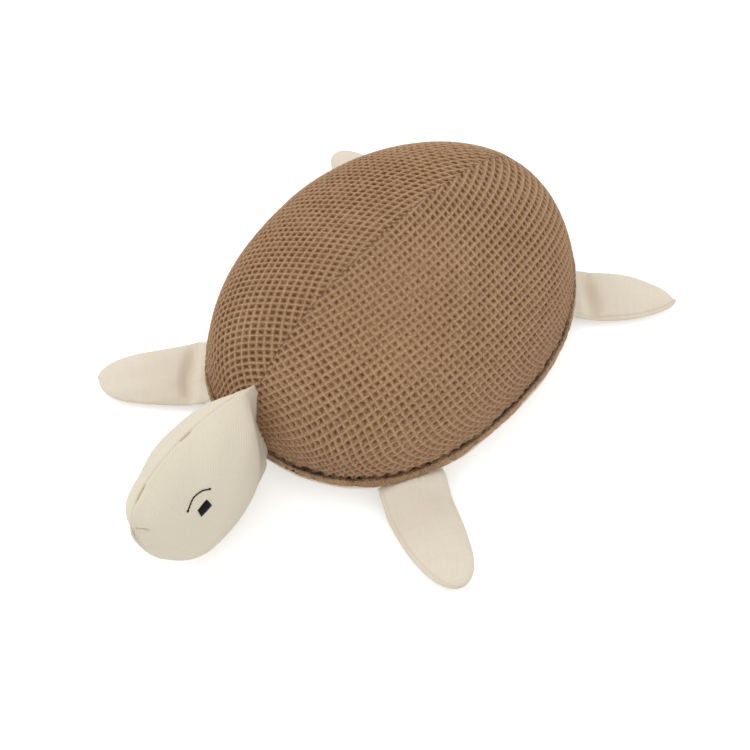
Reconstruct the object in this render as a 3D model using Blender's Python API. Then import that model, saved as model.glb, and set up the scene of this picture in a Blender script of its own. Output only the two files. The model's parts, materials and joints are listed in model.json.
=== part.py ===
"""Plush turtle: a stuffed dome of waffle-weave cotton with a twill head and four flat flippers.

It is modelled the way it is sewn. Each cloth panel, wad of filling and line of thread is a
piece of its own, and the head and the flippers turn where they are sewn to the body.

Units are metres and +Z is up. The nose points along -Y and the turtle's left is +X. The
origin is on the surface that the belly rests on, under the middle of the shell.
"""

import bmesh
import bpy
from math import asin, atan2, cos, exp, pi, radians, sin, sqrt, tan
from mathutils import Matrix, Vector

# Shell
SHELL_LENGTH = 0.320
SHELL_WIDTH = 0.236
SHELL_HEIGHT = 0.117
RIM_HEIGHT = 0.022
SHELL_CLOTH = 0.0018
SEAM_DIP = 0.0012
SEAM_DIP_REACH = 0.0050
CREASE_DEPTH = 0.0025
CREASE_RISE = 0.0060

# Hem, the gathered lower edge of the shell
HEM_DEPTH = 0.0060
HEM_BAND_HEIGHT = 0.0080
HEM_PROUD = 0.0005

# Belly
BELLY_INSET = 0.0020
BELLY_FLAT_INSET = 0.0240
LINING_CLOTH = 0.0012

# Head
HEAD_LENGTH = 0.1317
HEAD_WIDTH = 0.0715
HEAD_HEIGHT = 0.1000
HEAD_OFFSET = -0.0116
HEAD_SET_OUT = 0.0018
HEAD_CLOTH = 0.0012
NECK_PLUG_LENGTH = 0.0100

# Flippers
FRONT_FLIPPER_LENGTH = 0.0850
REAR_FLIPPER_LENGTH = 0.0750
FLIPPER_WIDTH = 0.0500
FLIPPER_SEAM_HEIGHT = 0.0052
FLIPPER_CROWN = 0.0065
FLIPPER_FLOOR_GAP = 0.0004
FLIPPER_HEM_LAP = 0.0030
FLIPPER_SAG = 0.0220
FLIPPER_DENT_PLACE = 0.0170
FLIPPER_DENT_REACH = 0.0080
FLIPPER_CLOTH = 0.0010

# Embroidery on the face
EYE_THICKNESS = 0.0008

# Threads
SEAM_THREAD = 0.0009
FINE_THREAD = 0.0008

# Clearances
CLEARANCE = 0.0003
LAYER_GAP = 0.0004
MERGE_DISTANCE = 0.000002

# Shape of the dome: shares of the half length, and the powers of its outlines
WIDEST_PLACE_SHARE = 0.0143
TOP_PLACE_SHARE = -0.047
SEAM_OFFSET_SHARE = -0.034
SEAM_SKEW_SHARE = 0.067
SIDE_PINCH_SHARE = -0.185
FRONT_POWER = 2.387
REAR_POWER = 1.907
CROWN_POWER = 1.76
SIDE_POWER = 3.33
ROW_SPREAD = 1.6
HEM_POWER = 2.6
BELLY_POWER = 1.3

# Shape of the head along its length: (share of the length, share of the height or half width)
CREST_SHARES = ((0, 0.798), (0.33, 0.948), (0.66, 1.010), (1, 1.015))
CHIN_SHARES = ((0, 0.130), (0.3, 0.024), (0.7, 0.024), (1, 0.090))
CHEEK_SHARES = ((0, 0.275), (0.4, 0.937), (0.8, 1.0), (1, 0.80))
CHEEK_LEVEL_SHARE = 0.589
CHEEK_RISE_SHARE = 0.10
NOSE_POWER = 6.14
TAPER_POWER = 1.292
RIDGE_POWER = 0.594
ROLL_LEVEL_SHARE = 0.45
NECK_PLUG_LEVEL_SHARE = 0.42
NECK_PLUG_HEIGHT_SHARE = 0.42
NECK_PLUG_WIDTH_SHARE = 0.24
HEAD_YAW = radians(2.26)
HEAD_ROLL = radians(7.58)
NECK_DRAFT = radians(9)

# Places on the face: (share of the head's length, share from chin seam to crest seam)
EYE_CORNER_SHARES = ((0.651, 0.04), (0.639, -0.11), (0.701, -0.19), (0.711, -0.045))
EYELID_SHARES = (
    (0.613, 0.24),
    (0.648, 0.30),
    (0.675, 0.31),
    (0.704, 0.29),
    (0.727, 0.22),
    (0.746, 0.10),
    (0.759, 0.01),
)
DART_SHARES = ((0.990, 0.20), (0.972, 0.06), (0.949, -0.08))

# Shape of a flipper along its length
FLIPPER_TIP_POWER = 4.0
FLIPPER_CROWN_POWER = 2.2
FLIPPER_END_POWER = 6.0
FLIPPER_DENT_SHARE = 0.30
FRONT_TAPER_SHARE = 0.17
REAR_TAPER_SHARE = 0.26

# Where each flipper leaves the hem: name, side, heading in degrees from +X, share of the half
# length, length, width lost at the tip, and share of the length that is tucked under the hem
FLIPPER_SHARES = (
    ("front_left", 1, -32.1, -0.712, FRONT_FLIPPER_LENGTH, FRONT_TAPER_SHARE, 0.0),
    ("front_right", -1, 215.4, -0.770, FRONT_FLIPPER_LENGTH, FRONT_TAPER_SHARE, 0.10),
    ("rear_left", 1, 32.6, 0.639, REAR_FLIPPER_LENGTH, REAR_TAPER_SHARE, 0.0),
    ("rear_right", -1, 162.0, 0.639, REAR_FLIPPER_LENGTH, REAR_TAPER_SHARE, 0.19),
)

# Counts of rows and columns in the meshes
SHELL_ROWS = 11
SHELL_COLUMNS = 18
HEM_COLUMNS = 72
HEM_SIDES = 8
BELLY_ROWS = 4
HEAD_ROWS = 15
HEAD_COLUMNS = 10
FLIPPER_ROWS = 10
FLIPPER_COLUMNS = 6
PATCH_STEPS = 3
NECK_PLUG_ROWS = 2
NECK_SAMPLES = 40

HALF_LENGTH = SHELL_LENGTH / 2
HALF_WIDTH = SHELL_WIDTH / 2
WIDEST_Y = HALF_LENGTH * WIDEST_PLACE_SHARE
TOP_Y = HALF_LENGTH * TOP_PLACE_SHARE
HEM_TOP = RIM_HEIGHT + HEM_BAND_HEIGHT / 2
HEM_BOTTOM = RIM_HEIGHT - HEM_BAND_HEIGHT / 2
PANEL_EDGE = HEM_TOP + CLEARANCE
DOME_RISE = SHELL_HEIGHT - RIM_HEIGHT
FLIPPER_ROOT_SEAM = HEM_BOTTOM + FLIPPER_HEM_LAP - FLIPPER_CROWN
CROSS_ANGLE_STEP = radians(0.5)


def signed_power(value, power):
    """value to a power, with its sign kept."""
    return abs(value) ** power * (1 if value >= 0 else -1)


def through(points, place):
    """The smooth curve through a few (place, value) points, read at place."""
    total = 0
    for i, (xi, value) in enumerate(points):
        for j, (xj, _) in enumerate(points):
            if i != j:
                value *= (place - xj) / (xi - xj)
        total += value
    return total


def eased(step, count):
    """Shares from 0 to 1 that lie closer together at both ends."""
    return (1 - cos(pi * step / count)) / 2


def near(distance, reach):
    """A smooth bump: 1 at no distance, and fading out past reach."""
    return exp(-((distance / reach) ** 2))


# Outline of the shell


def rim_point(angle):
    """Plan point of the shell's widest outline, at an angle from +X towards +Y."""
    rear = sin(angle) > 0
    power = REAR_POWER if rear else FRONT_POWER
    reach = HALF_LENGTH - WIDEST_Y if rear else HALF_LENGTH + WIDEST_Y
    x = HALF_WIDTH * signed_power(cos(angle), 2 / power)
    return Vector((x, WIDEST_Y + reach * signed_power(sin(angle), 2 / power), 0))


def rim_normal(angle):
    """Outward normal of that outline, in plan."""
    along = rim_point(angle + CROSS_ANGLE_STEP) - rim_point(angle - CROSS_ANGLE_STEP)
    return Vector((along.y, -along.x, 0)).normalized()


def rim_angle(y, side):
    """Angle of the outline's point at y, on the left (1) or right (-1) side."""
    rear = y > WIDEST_Y
    power = REAR_POWER if rear else FRONT_POWER
    reach = HALF_LENGTH - WIDEST_Y if rear else HALF_LENGTH + WIDEST_Y
    angle = asin((abs(y - WIDEST_Y) / reach) ** (power / 2)) * (1 if rear else -1)
    return angle if side > 0 else pi - angle


def rim_at(angle, outward, height):
    """A point beside the rim, outward from it in plan."""
    point = rim_point(angle) + rim_normal(angle) * outward
    point.z = height
    return point


def seam_x(y):
    """Place of the shell's centre seam, which runs a little askew."""
    return HALF_LENGTH * SEAM_OFFSET_SHARE + SEAM_SKEW_SHARE * y


def dome_point(slope, angle):
    """A point of the plain dome. slope is 0 at the rim and a quarter turn at the top."""
    lift = sin(slope) ** (2 / SIDE_POWER)
    reach = cos(slope) ** (2 / CROWN_POWER) * (1 + SIDE_PINCH_SHARE * lift * (1 - lift))
    centre_y = WIDEST_Y + (TOP_Y - WIDEST_Y) * lift ** 1.5
    centre_x = seam_x(TOP_Y) * lift ** 4
    rim = rim_point(angle)
    x = centre_x + rim.x * reach
    y = centre_y + (rim.y - WIDEST_Y) * reach
    return Vector((x, y, RIM_HEIGHT + DOME_RISE * lift))


def seam_angle(slope, middle):
    """Angle near middle at which the dome meets the line of the centre seam."""
    low = middle - pi / 3
    high = middle + pi / 3
    rising = middle < 0
    for _ in range(50):
        angle = (low + high) / 2
        point = dome_point(slope, angle)
        if (point.x < seam_x(point.y)) == rising:
            low = angle
        else:
            high = angle
    return (low + high) / 2


def shell_angles(slope):
    """Angles of one loop's columns: front seam, left side, rear seam, right side."""
    front = seam_angle(slope, -pi / 2)
    rear = seam_angle(slope, pi / 2)
    shares = [eased(j, SHELL_COLUMNS) for j in range(SHELL_COLUMNS)]
    left = [front + (rear - front) * share for share in shares]
    right = [rear + (front + 2 * pi - rear) * share for share in shares]
    return left + right


def edge_slope():
    """Slope at which the shell's panels end, just above the hem."""
    return asin(((PANEL_EDGE - RIM_HEIGHT) / DOME_RISE) ** (SIDE_POWER / 2))


def shell_rows():
    """Loops of the shell's cloth from the hem up to the top, drawn in at the crease and seam."""
    start = edge_slope()
    rows = []
    for i in range(SHELL_ROWS):
        slope = start + (pi / 2 - start) * (i / SHELL_ROWS) ** ROW_SPREAD
        row = []
        for angle in shell_angles(slope):
            point = dome_point(slope, angle)
            drawn = CREASE_DEPTH * near(point.z - PANEL_EDGE, CREASE_RISE)
            row.append(point - rim_normal(angle) * drawn)
        rows.append(row)
    rows.append([dome_point(pi / 2, 0) for _ in rows[0]])
    return [
        [
            point - normal * SEAM_DIP * near(point.x - seam_x(point.y), SEAM_DIP_REACH)
            for point, normal in zip(row, line)
        ]
        for row, line in zip(rows, loop_normals(rows))
    ]


# Grids of points


def loop_normals(rows):
    """Outward normals of closed loops of points that follow one another."""
    points = [p for row in rows for p in row]
    centre = sum(points, Vector()) / len(points)
    normals = []
    for i, row in enumerate(rows):
        before = rows[max(i - 1, 0)]
        after = rows[min(i + 1, len(rows) - 1)]
        line = []
        for j, point in enumerate(row):
            along = row[(j + 1) % len(row)] - row[j - 1]
            normal = along.cross(after[j] - before[j]).normalized()
            line.append(normal if normal.dot(point - centre) >= 0 else -normal)
        if (row[0] - row[len(row) // 2]).length < MERGE_DISTANCE:
            mean = sum(normals[-1], Vector()).normalized()
            line = [mean for _ in row]
        normals.append(line)
    return normals


def sunk(rows, depth):
    """The same loops, sunk along their normals by depth."""
    normals = loop_normals(rows)
    return [[p - n * depth for p, n in zip(row, line)] for row, line in zip(rows, normals)]


def part_of(rows, first, last, shift):
    """Columns first to last of some loops, moved by shift."""
    return [[row[j % len(row)] + shift for j in range(first, last + 1)] for row in rows]


def mesh_from(name, bm):
    """A mesh with merged poles, outward faces and smooth shading."""
    bmesh.ops.remove_doubles(bm, verts=bm.verts, dist=MERGE_DISTANCE)
    bmesh.ops.recalc_face_normals(bm, faces=bm.faces)
    mesh = bpy.data.meshes.new(name)
    bm.to_mesh(mesh)
    bm.free()
    mesh.shade_smooth()
    mesh.set_sharp_from_angle(angle=radians(50))
    return mesh


def cloth_mesh(name, outer, inner, wraps=False):
    """A closed sheet of cloth between two grids of points."""
    bm = bmesh.new()
    front = [[bm.verts.new(p) for p in row] for row in outer]
    back = [[bm.verts.new(p) for p in row] for row in inner]
    rows = len(front)
    columns = len(front[0])
    for i in range(rows - 1):
        for j in range(columns - 1):
            for side in (front, back):
                bm.faces.new((side[i][j], side[i][j + 1], side[i + 1][j + 1], side[i + 1][j]))
    edges = [(0, j, 0, j + 1) for j in range(columns - 1)]
    if (outer[-1][0] - outer[-1][columns // 2]).length > MERGE_DISTANCE:
        edges += [(rows - 1, j, rows - 1, j + 1) for j in range(columns - 1)]
    if not wraps:
        edges += [(i, 0, i + 1, 0) for i in range(rows - 1)]
        edges += [(i, columns - 1, i + 1, columns - 1) for i in range(rows - 1)]
    for i, j, k, m in edges:
        bm.faces.new((front[i][j], front[k][m], back[k][m], back[i][j]))
    return mesh_from(name, bm)


def wad_mesh(name, rows):
    """A closed wad of filling through loops of points, with fans over its two ends."""
    bm = bmesh.new()
    loops = [[bm.verts.new(p) for p in row] for row in rows]
    count = len(loops[0])
    for before, after in zip(loops, loops[1:]):
        for j in range(count):
            k = (j + 1) % count
            bm.faces.new((before[j], before[k], after[k], after[j]))
    for row, loop in ((rows[0], loops[0]), (rows[-1], loops[-1])):
        if (row[0] - row[count // 2]).length > MERGE_DISTANCE:
            middle = bm.verts.new(sum(row, Vector()) / count)
            for j in range(count):
                bm.faces.new((loop[j], loop[(j + 1) % count], middle))
    return mesh_from(name, bm)


# Objects


def clear_scene():
    """Removes whatever the file opened with."""
    for thing in list(bpy.data.objects):
        bpy.data.objects.remove(thing, do_unlink=True)


def cloth_material(name, colour, roughness=0.9):
    """A matt textile finish."""
    material = bpy.data.materials.new(name)
    material.use_nodes = True
    shader = material.node_tree.nodes["Principled BSDF"]
    shader.inputs["Base Color"].default_value = (*colour, 1)
    shader.inputs["Roughness"].default_value = roughness
    shader.inputs["Metallic"].default_value = 0
    return material


def pivot(name, place, heading=0.0, parent=None):
    """An empty on a joint's axis, which carries the pieces that turn there."""
    empty = bpy.data.objects.new(name, None)
    bpy.context.scene.collection.objects.link(empty)
    matrix = Matrix.Translation(place) @ Matrix.Rotation(heading, 4, "Z")
    empty.parent = parent
    empty.matrix_local = parent.matrix_world.inverted() @ matrix if parent else matrix
    bpy.context.view_layer.update()
    return empty


def add_piece(name, data, colour, carrier=None):
    """One sub-part, with a material of its own, whose points are in world coordinates."""
    piece = bpy.data.objects.new(name, data)
    bpy.context.scene.collection.objects.link(piece)
    if carrier:
        data.transform(carrier.matrix_world.inverted())
        piece.parent = carrier
    data.materials.append(cloth_material(name + "_cloth", colour))
    return piece


def add_thread(name, points, thickness, colour, carrier=None, closed=False):
    """A line of sewing thread through points in world coordinates."""
    curve = bpy.data.curves.new(name, "CURVE")
    curve.dimensions = "3D"
    spline = curve.splines.new("POLY")
    spline.points.add(len(points) - 1)
    for place, point in zip(spline.points, points):
        place.co = (*point, 1)
    spline.use_cyclic_u = closed
    curve.bevel_depth = thickness / 2
    curve.bevel_resolution = 1
    curve.use_fill_caps = not closed
    return add_piece(name, curve, colour, carrier)


WAFFLE_BROWN = (0.305, 0.175, 0.093)
THREAD_BROWN = (0.180, 0.095, 0.048)
BELLY_CREAM = (0.700, 0.620, 0.500)
TWILL_CREAM = (0.740, 0.665, 0.555)
LINEN_CREAM = (0.730, 0.650, 0.530)
THREAD_CREAM = (0.620, 0.540, 0.430)
FIBRE_WHITE = (0.850, 0.850, 0.840)
EYE_BLACK = (0.004, 0.003, 0.002)


# Body


def make_shell_panels(rows):
    """The left and right waffle-weave panels, which meet along the centre seam."""
    inner = sunk(rows, SHELL_CLOTH)
    spans = (("shell_left_panel", 0, 1), ("shell_right_panel", SHELL_COLUMNS, -1))
    for name, first, side in spans:
        shift = Vector((side * CLEARANCE / 2, 0, 0))
        last = first + SHELL_COLUMNS
        outer_part = part_of(rows, first, last, shift)
        inner_part = part_of(inner, first, last, shift)
        add_piece(name, cloth_mesh(name, outer_part, inner_part), WAFFLE_BROWN)


def make_centre_seam(rows):
    """The thread in the valley between the two panels, from the front hem to the rear one."""
    lifted = sunk(rows, -(SEAM_THREAD / 2 + CLEARANCE))
    front = [row[0] for row in lifted]
    rear = [row[SHELL_COLUMNS] for row in lifted[:-1]]
    add_thread("shell_centre_seam", front + rear[::-1], SEAM_THREAD, THREAD_BROWN)


def make_hem():
    """The rolled, gathered band at the foot of the shell, and the thread that draws it in."""
    rows = []
    middle = HEM_PROUD - HEM_DEPTH / 2
    angles = [2 * pi * j / HEM_COLUMNS for j in range(HEM_COLUMNS)]
    for i in range(HEM_SIDES + 1):
        around = 2 * pi * i / HEM_SIDES
        outward = middle + HEM_DEPTH / 2 * signed_power(cos(around), 2 / HEM_POWER)
        height = RIM_HEIGHT + HEM_BAND_HEIGHT / 2 * signed_power(sin(around), 2 / HEM_POWER)
        rows.append([rim_at(angle, outward, height) for angle in angles])
    bm = bmesh.new()
    loops = [[bm.verts.new(p) for p in row] for row in rows]
    for before, after in zip(loops, loops[1:]):
        for j in range(HEM_COLUMNS):
            k = (j + 1) % HEM_COLUMNS
            bm.faces.new((before[j], before[k], after[k], after[j]))
    add_piece("shell_hem_band", mesh_from("shell_hem_band", bm), WAFFLE_BROWN)
    outward = SEAM_THREAD / 2 + LAYER_GAP - CREASE_DEPTH
    height = HEM_TOP + SEAM_THREAD / 2 + LAYER_GAP
    points = [rim_at(angle, outward, height) for angle in angles]
    add_thread("hem_gather_thread", points, SEAM_THREAD, THREAD_BROWN, closed=True)


def belly_rows(depth):
    """Loops down the belly's side to its flat base, sunk by depth into the body."""
    top = HEM_BOTTOM - CLEARANCE
    spread = BELLY_FLAT_INSET - BELLY_INSET
    angles = shell_angles(edge_slope())
    rows = []
    for i in range(BELLY_ROWS + 1):
        turn = pi / 2 * i / BELLY_ROWS
        inward = BELLY_INSET + depth + spread * (1 - cos(turn) ** (2 / BELLY_POWER))
        height = depth + (top - depth) * (1 - sin(turn) ** (2 / BELLY_POWER))
        rows.append([rim_at(angle, -inward, height) for angle in angles])
    return rows


def make_belly():
    """The cream panel under the body, flat where it rests."""
    outer = belly_rows(0)
    inner = belly_rows(LINING_CLOTH)
    for rows, height in ((outer, 0), (inner, LINING_CLOTH)):
        rows.append([Vector((0, WIDEST_Y, height)) for _ in rows[0]])
        for row in rows:
            row.append(row[0].copy())
    add_piece("belly_panel", cloth_mesh("belly_panel", outer, inner, wraps=True), BELLY_CREAM)


def make_body_filling(rows):
    """The fibre that fills the shell, drawn in at the hem."""
    upper = sunk(rows, SHELL_CLOTH + LAYER_GAP)
    waist = HEM_DEPTH - HEM_PROUD + LAYER_GAP
    angles = shell_angles(edge_slope())
    hem = [[rim_at(a, -waist, height) for a in angles] for height in (HEM_TOP, HEM_BOTTOM)]
    lower = belly_rows(LINING_CLOTH + LAYER_GAP)
    add_piece("body_filling", wad_mesh("body_filling", upper[::-1] + hem + lower), FIBRE_WHITE)


# Head


def neck_lean(angle):
    """How fast a plane that clears the hem and the shell's front leans back as it rises."""
    front = rim_at(angle, HEM_PROUD, RIM_HEIGHT)
    leans = []
    for i in range(1, NECK_SAMPLES):
        point = dome_point(pi / 2 * i / NECK_SAMPLES, angle)
        if point.z > HEM_TOP:
            leans.append((point.y - front.y) / (point.z - front.z))
    return min(leans)


NECK_ANGLE = asin(signed_power(HEAD_OFFSET / HALF_WIDTH, FRONT_POWER / 2)) - pi / 2
NECK_LEAN = neck_lean(NECK_ANGLE)
NECK_FRONT = rim_at(NECK_ANGLE, HEM_PROUD, 0).y - CLEARANCE
NECK_CREST = HEAD_HEIGHT * CREST_SHARES[0][1]
HEAD_START = NECK_FRONT + NECK_LEAN * (NECK_CREST - RIM_HEIGHT) - HEAD_SET_OUT
ROLL_HEIGHT = HEAD_HEIGHT * ROLL_LEVEL_SHARE
HEAD_FRAME = (
    Matrix.Translation((HEAD_OFFSET, HEAD_START, ROLL_HEIGHT))
    @ Matrix.Rotation(HEAD_YAW, 4, "Z")
    @ Matrix.Rotation(-HEAD_ROLL, 4, "Y")
    @ Matrix.Translation((0, 0, -ROLL_HEIGHT))
)


def head_point(place, level, side):
    """A point of the head's skin. place runs from the neck to the nose as a share of the
    length, level from the chin seam (-1) to the crest seam (1), and side is left (1) or right."""
    crest = HEAD_HEIGHT * through(CREST_SHARES, place)
    chin = HEAD_HEIGHT * through(CHIN_SHARES, place)
    middle = chin + (crest - chin) * (CHEEK_LEVEL_SHARE + CHEEK_RISE_SHARE * place)
    inside = max(place, 0)
    blunt = sqrt(max(1 - inside ** NOSE_POWER, 0))
    narrow = sqrt(max(1 - inside ** TAPER_POWER, 0))
    half = HEAD_WIDTH / 2 * through(CHEEK_SHARES, place) * narrow
    span = crest - middle if level > 0 else middle - chin
    power = RIDGE_POWER if level > 0 else 1 / 2
    x = side * half * max(1 - level * level, 0) ** power
    return HEAD_FRAME @ Vector((x, -place * HEAD_LENGTH, middle + span * blunt * level))


def neck_plane(point, setback=0):
    """Where a plane that leans just in front of the shell and the hem has a point's x and z."""
    return NECK_FRONT + NECK_LEAN * (point.z - RIM_HEIGHT) - setback


def neck_limit(point):
    """The same for two planes that draw away from the neck's middle, so the head can turn."""
    return neck_plane(point) - abs(point.x - HEAD_OFFSET) * tan(NECK_DRAFT)


def neck_place(level, side, setback=0):
    """Where along its length the head starts, at one level, or its filling with a setback."""
    place = 0
    for _ in range(30):
        point = head_point(place, level, side)
        limit = neck_plane(point, setback) if setback else neck_limit(point)
        place += (point.y - limit) / HEAD_LENGTH
    return place


def head_rows(setback=0):
    """Loops of the head's skin from the neck to the nose: crest, left side, chin, right side."""
    levels = [(1 - 2 * eased(j, HEAD_COLUMNS), 1) for j in range(HEAD_COLUMNS)]
    levels += [(2 * eased(j, HEAD_COLUMNS) - 1, -1) for j in range(HEAD_COLUMNS)]
    starts = [neck_place(level, side, setback) for level, side in levels]
    rows = []
    for i in range(HEAD_ROWS + 1):
        along = 1 - (1 - i / HEAD_ROWS) ** ROW_SPREAD
        places = [start + (1 - start) * along for start in starts]
        rows.append([head_point(p, level, side) for p, (level, side) in zip(places, levels)])
    return rows


def make_head(nod):
    """The two twill panels, the seam thread over the crest and nose, and the filling."""
    rows = head_rows()
    inner = sunk(rows, HEAD_CLOTH)
    sideways = HEAD_FRAME.to_3x3() @ Vector((1, 0, 0))
    for name, first, side in (("head_left_panel", 0, 1), ("head_right_panel", HEAD_COLUMNS, -1)):
        shift = sideways * side * CLEARANCE / 2
        last = first + HEAD_COLUMNS
        outer_part = part_of(rows, first, last, shift)
        inner_part = part_of(inner, first, last, shift)
        add_piece(name, cloth_mesh(name, outer_part, inner_part), TWILL_CREAM, nod)
    lifted = sunk(rows, -(FINE_THREAD / 2 + CLEARANCE))
    crest = [row[0] for row in lifted]
    chin = [row[HEAD_COLUMNS] for row in lifted[:-1]]
    add_thread("head_crest_seam", crest + chin[::-1], FINE_THREAD, THREAD_CREAM, nod)
    setback = NECK_PLUG_LENGTH + CLEARANCE
    wad = sunk(head_rows(setback), HEAD_CLOTH + LAYER_GAP)
    for point, ahead in zip(wad[0], wad[1]):
        back = point - ahead
        short = neck_plane(point, setback) - point.y
        point += back * short / (back.y - NECK_LEAN * back.z)
    add_piece("head_filling", wad_mesh("head_filling", wad), FIBRE_WHITE, nod)


def make_neck_filling(turn):
    """The wad of fibre in the neck, between the shell's front and the head's own filling."""
    half_width = HEAD_WIDTH * NECK_PLUG_WIDTH_SHARE / 2
    half_height = HEAD_HEIGHT * NECK_PLUG_HEIGHT_SHARE / 2
    rows = []
    for i in range(NECK_PLUG_ROWS + 1):
        row = []
        for j in range(2 * HEAD_COLUMNS):
            around = pi * j / HEAD_COLUMNS
            x = HEAD_OFFSET + half_width * cos(around)
            point = Vector((x, 0, HEAD_HEIGHT * NECK_PLUG_LEVEL_SHARE + half_height * sin(around)))
            rear = neck_limit(point)
            front = neck_plane(point, NECK_PLUG_LENGTH)
            point.y = rear + (front - rear) * i / NECK_PLUG_ROWS
            row.append(point)
        rows.append(row)
    add_piece("neck_filling", wad_mesh("neck_filling", rows), FIBRE_WHITE, turn)


# Face


def skin_place(place, level, side, proud):
    """A point held proud of the head's skin."""
    step = 1 / HEAD_ROWS ** 2
    here = head_point(place, level, side)
    along = head_point(place + step, level, side) - head_point(place - step, level, side)
    around = head_point(place, level + step, side) - head_point(place, level - step, side)
    normal = around.cross(along).normalized() * side
    return here + normal * proud


def make_eye(name, side, nod):
    """A small slanted block of satin stitch."""
    corners = EYE_CORNER_SHARES
    layers = []
    for proud in (CLEARANCE + EYE_THICKNESS, CLEARANCE):
        rows = []
        for i in range(PATCH_STEPS + 1):
            row = []
            for j in range(PATCH_STEPS + 1):
                a = i / PATCH_STEPS
                b = j / PATCH_STEPS
                weights = ((1 - a) * (1 - b), a * (1 - b), a * b, (1 - a) * b)
                place = sum(w * c[0] for w, c in zip(weights, corners))
                level = sum(w * c[1] for w, c in zip(weights, corners))
                row.append(skin_place(place, level, side, proud))
            rows.append(row)
        layers.append(rows)
    add_piece(name, cloth_mesh(name, *layers), EYE_BLACK, nod)


def make_face(nod):
    """Eyes, eyelid stitches and nose darts, the same on both sides."""
    for word, side in (("left", 1), ("right", -1)):
        make_eye("eye_" + word, side, nod)
        proud = FINE_THREAD / 2 + CLEARANCE
        lid = [skin_place(place, level, side, proud) for place, level in EYELID_SHARES]
        add_thread("eyelid_stitch_" + word, lid, FINE_THREAD, EYE_BLACK, nod)
        dart = [skin_place(place, level, side, proud) for place, level in DART_SHARES]
        add_thread("nose_dart_" + word, dart, FINE_THREAD, THREAD_CREAM, nod)


# Flippers


def flipper_rows(length, taper, tuck, sweep, inset=0):
    """Loops of a flipper's skin in its own frame: x runs out from the hem, y along it, and z is
    height above the floor. Each goes from one edge seam over the top to the other and back.
    inset draws the skin in on all sides but the root."""
    reach = length * (1 - tuck) - inset
    narrowing = 1 - inset / (FLIPPER_WIDTH / 2)
    rows = []
    for i in range(FLIPPER_ROWS + 1):
        share = 1 - (1 - i / FLIPPER_ROWS) ** ROW_SPREAD
        out = reach * share
        along = tuck + (1 - tuck) * share
        blunt = sqrt(max(1 - along ** FLIPPER_END_POWER, 0))
        end = sqrt(max(1 - along ** FLIPPER_TIP_POWER, 0))
        half = FLIPPER_WIDTH / 2 * (1 - taper * along) * end * narrowing
        settled = 1 - near(out, FLIPPER_SAG)
        seam = FLIPPER_ROOT_SEAM - (FLIPPER_ROOT_SEAM - FLIPPER_SEAM_HEIGHT) * settled
        dent = FLIPPER_DENT_SHARE * near(out - FLIPPER_DENT_PLACE, FLIPPER_DENT_REACH)
        crown = FLIPPER_CROWN * (1 - dent) - inset
        belly = FLIPPER_SEAM_HEIGHT - FLIPPER_FLOOR_GAP - inset
        row = []
        for j in range(2 * FLIPPER_COLUMNS):
            over = j < FLIPPER_COLUMNS
            turn = 1 - 2 * eased(j % FLIPPER_COLUMNS, FLIPPER_COLUMNS)
            across = turn if over else -turn
            thick = sqrt(max(1 - abs(across) ** FLIPPER_CROWN_POWER, 0)) * blunt
            rise = crown * thick if over else -belly * thick
            row.append(Vector((out * cos(sweep), across * half + out * sin(sweep), seam + rise)))
        rows.append(row)
    return rows


def make_flipper(word, side, heading, root_share, length, taper, tuck):
    """One flipper on its pivot: top and bottom panels, the seam round its edge, and filling."""
    angle = rim_angle(HALF_LENGTH * root_share, side)
    normal = rim_normal(angle)
    normal_heading = atan2(normal.y, normal.x)
    root = rim_at(angle, HEM_PROUD + CLEARANCE, 0)
    top_edge = root + Vector((0, 0, FLIPPER_ROOT_SEAM + FLIPPER_CROWN))
    hinge = pivot(word + "_flipper_pivot", top_edge, normal_heading)
    sweep = radians(heading) - normal_heading
    frame = Matrix.Translation(root) @ Matrix.Rotation(normal_heading, 4, "Z")

    def placed_rows(inset):
        rows = flipper_rows(length, taper, tuck, sweep, inset)
        return [[frame @ point for point in row] for row in rows]

    outer = placed_rows(0)
    inner = placed_rows(FLIPPER_CLOTH)
    for layer, first, up in (("_top_panel", 0, 1), ("_bottom_panel", FLIPPER_COLUMNS, -1)):
        name = word + "_flipper" + layer
        shift = Vector((0, 0, up * CLEARANCE / 2))
        last = first + FLIPPER_COLUMNS
        outer_part = part_of(outer, first, last, shift)
        inner_part = part_of(inner, first, last, shift)
        add_piece(name, cloth_mesh(name, outer_part, inner_part), LINEN_CREAM, hinge)
    name = word + "_flipper_filling"
    add_piece(name, wad_mesh(name, placed_rows(FLIPPER_CLOTH + 2 * LAYER_GAP)), FIBRE_WHITE, hinge)
    edge = placed_rows(-(FINE_THREAD / 2 + 2 * CLEARANCE))
    outward = [row[0] for row in edge]
    back = [row[FLIPPER_COLUMNS] for row in edge[:-1]]
    add_thread(word + "_flipper_edge_seam", outward + back[::-1], FINE_THREAD, THREAD_CREAM, hinge)


def main():
    """Makes the turtle, body first, then the head and the flippers on their pivots."""
    clear_scene()
    rows = shell_rows()
    make_shell_panels(rows)
    make_centre_seam(rows)
    make_hem()
    make_belly()
    make_body_filling(rows)
    neck = head_point(neck_place(1, 1), 1, 1)
    neck_middle = Vector((HEAD_OFFSET, 0, HEAD_HEIGHT * NECK_PLUG_LEVEL_SHARE))
    neck_middle.y = neck_limit(neck_middle)
    turn = pivot("head_turn_pivot", neck_middle)
    nod = pivot("head_nod_pivot", neck, parent=turn)
    make_neck_filling(turn)
    make_head(nod)
    make_face(nod)
    for spec in FLIPPER_SHARES:
        make_flipper(*spec)


if __name__ == "__main__":
    main()
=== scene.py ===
"""Dresses the plush turtle in its waffle cloth, twill, linen, thread and wadding.

Each operator below makes one piece or one group of like pieces on the packed solids, and the
last one sets the stage. Units are metres, +Z is up and the nose points along -Y.
"""

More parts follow.
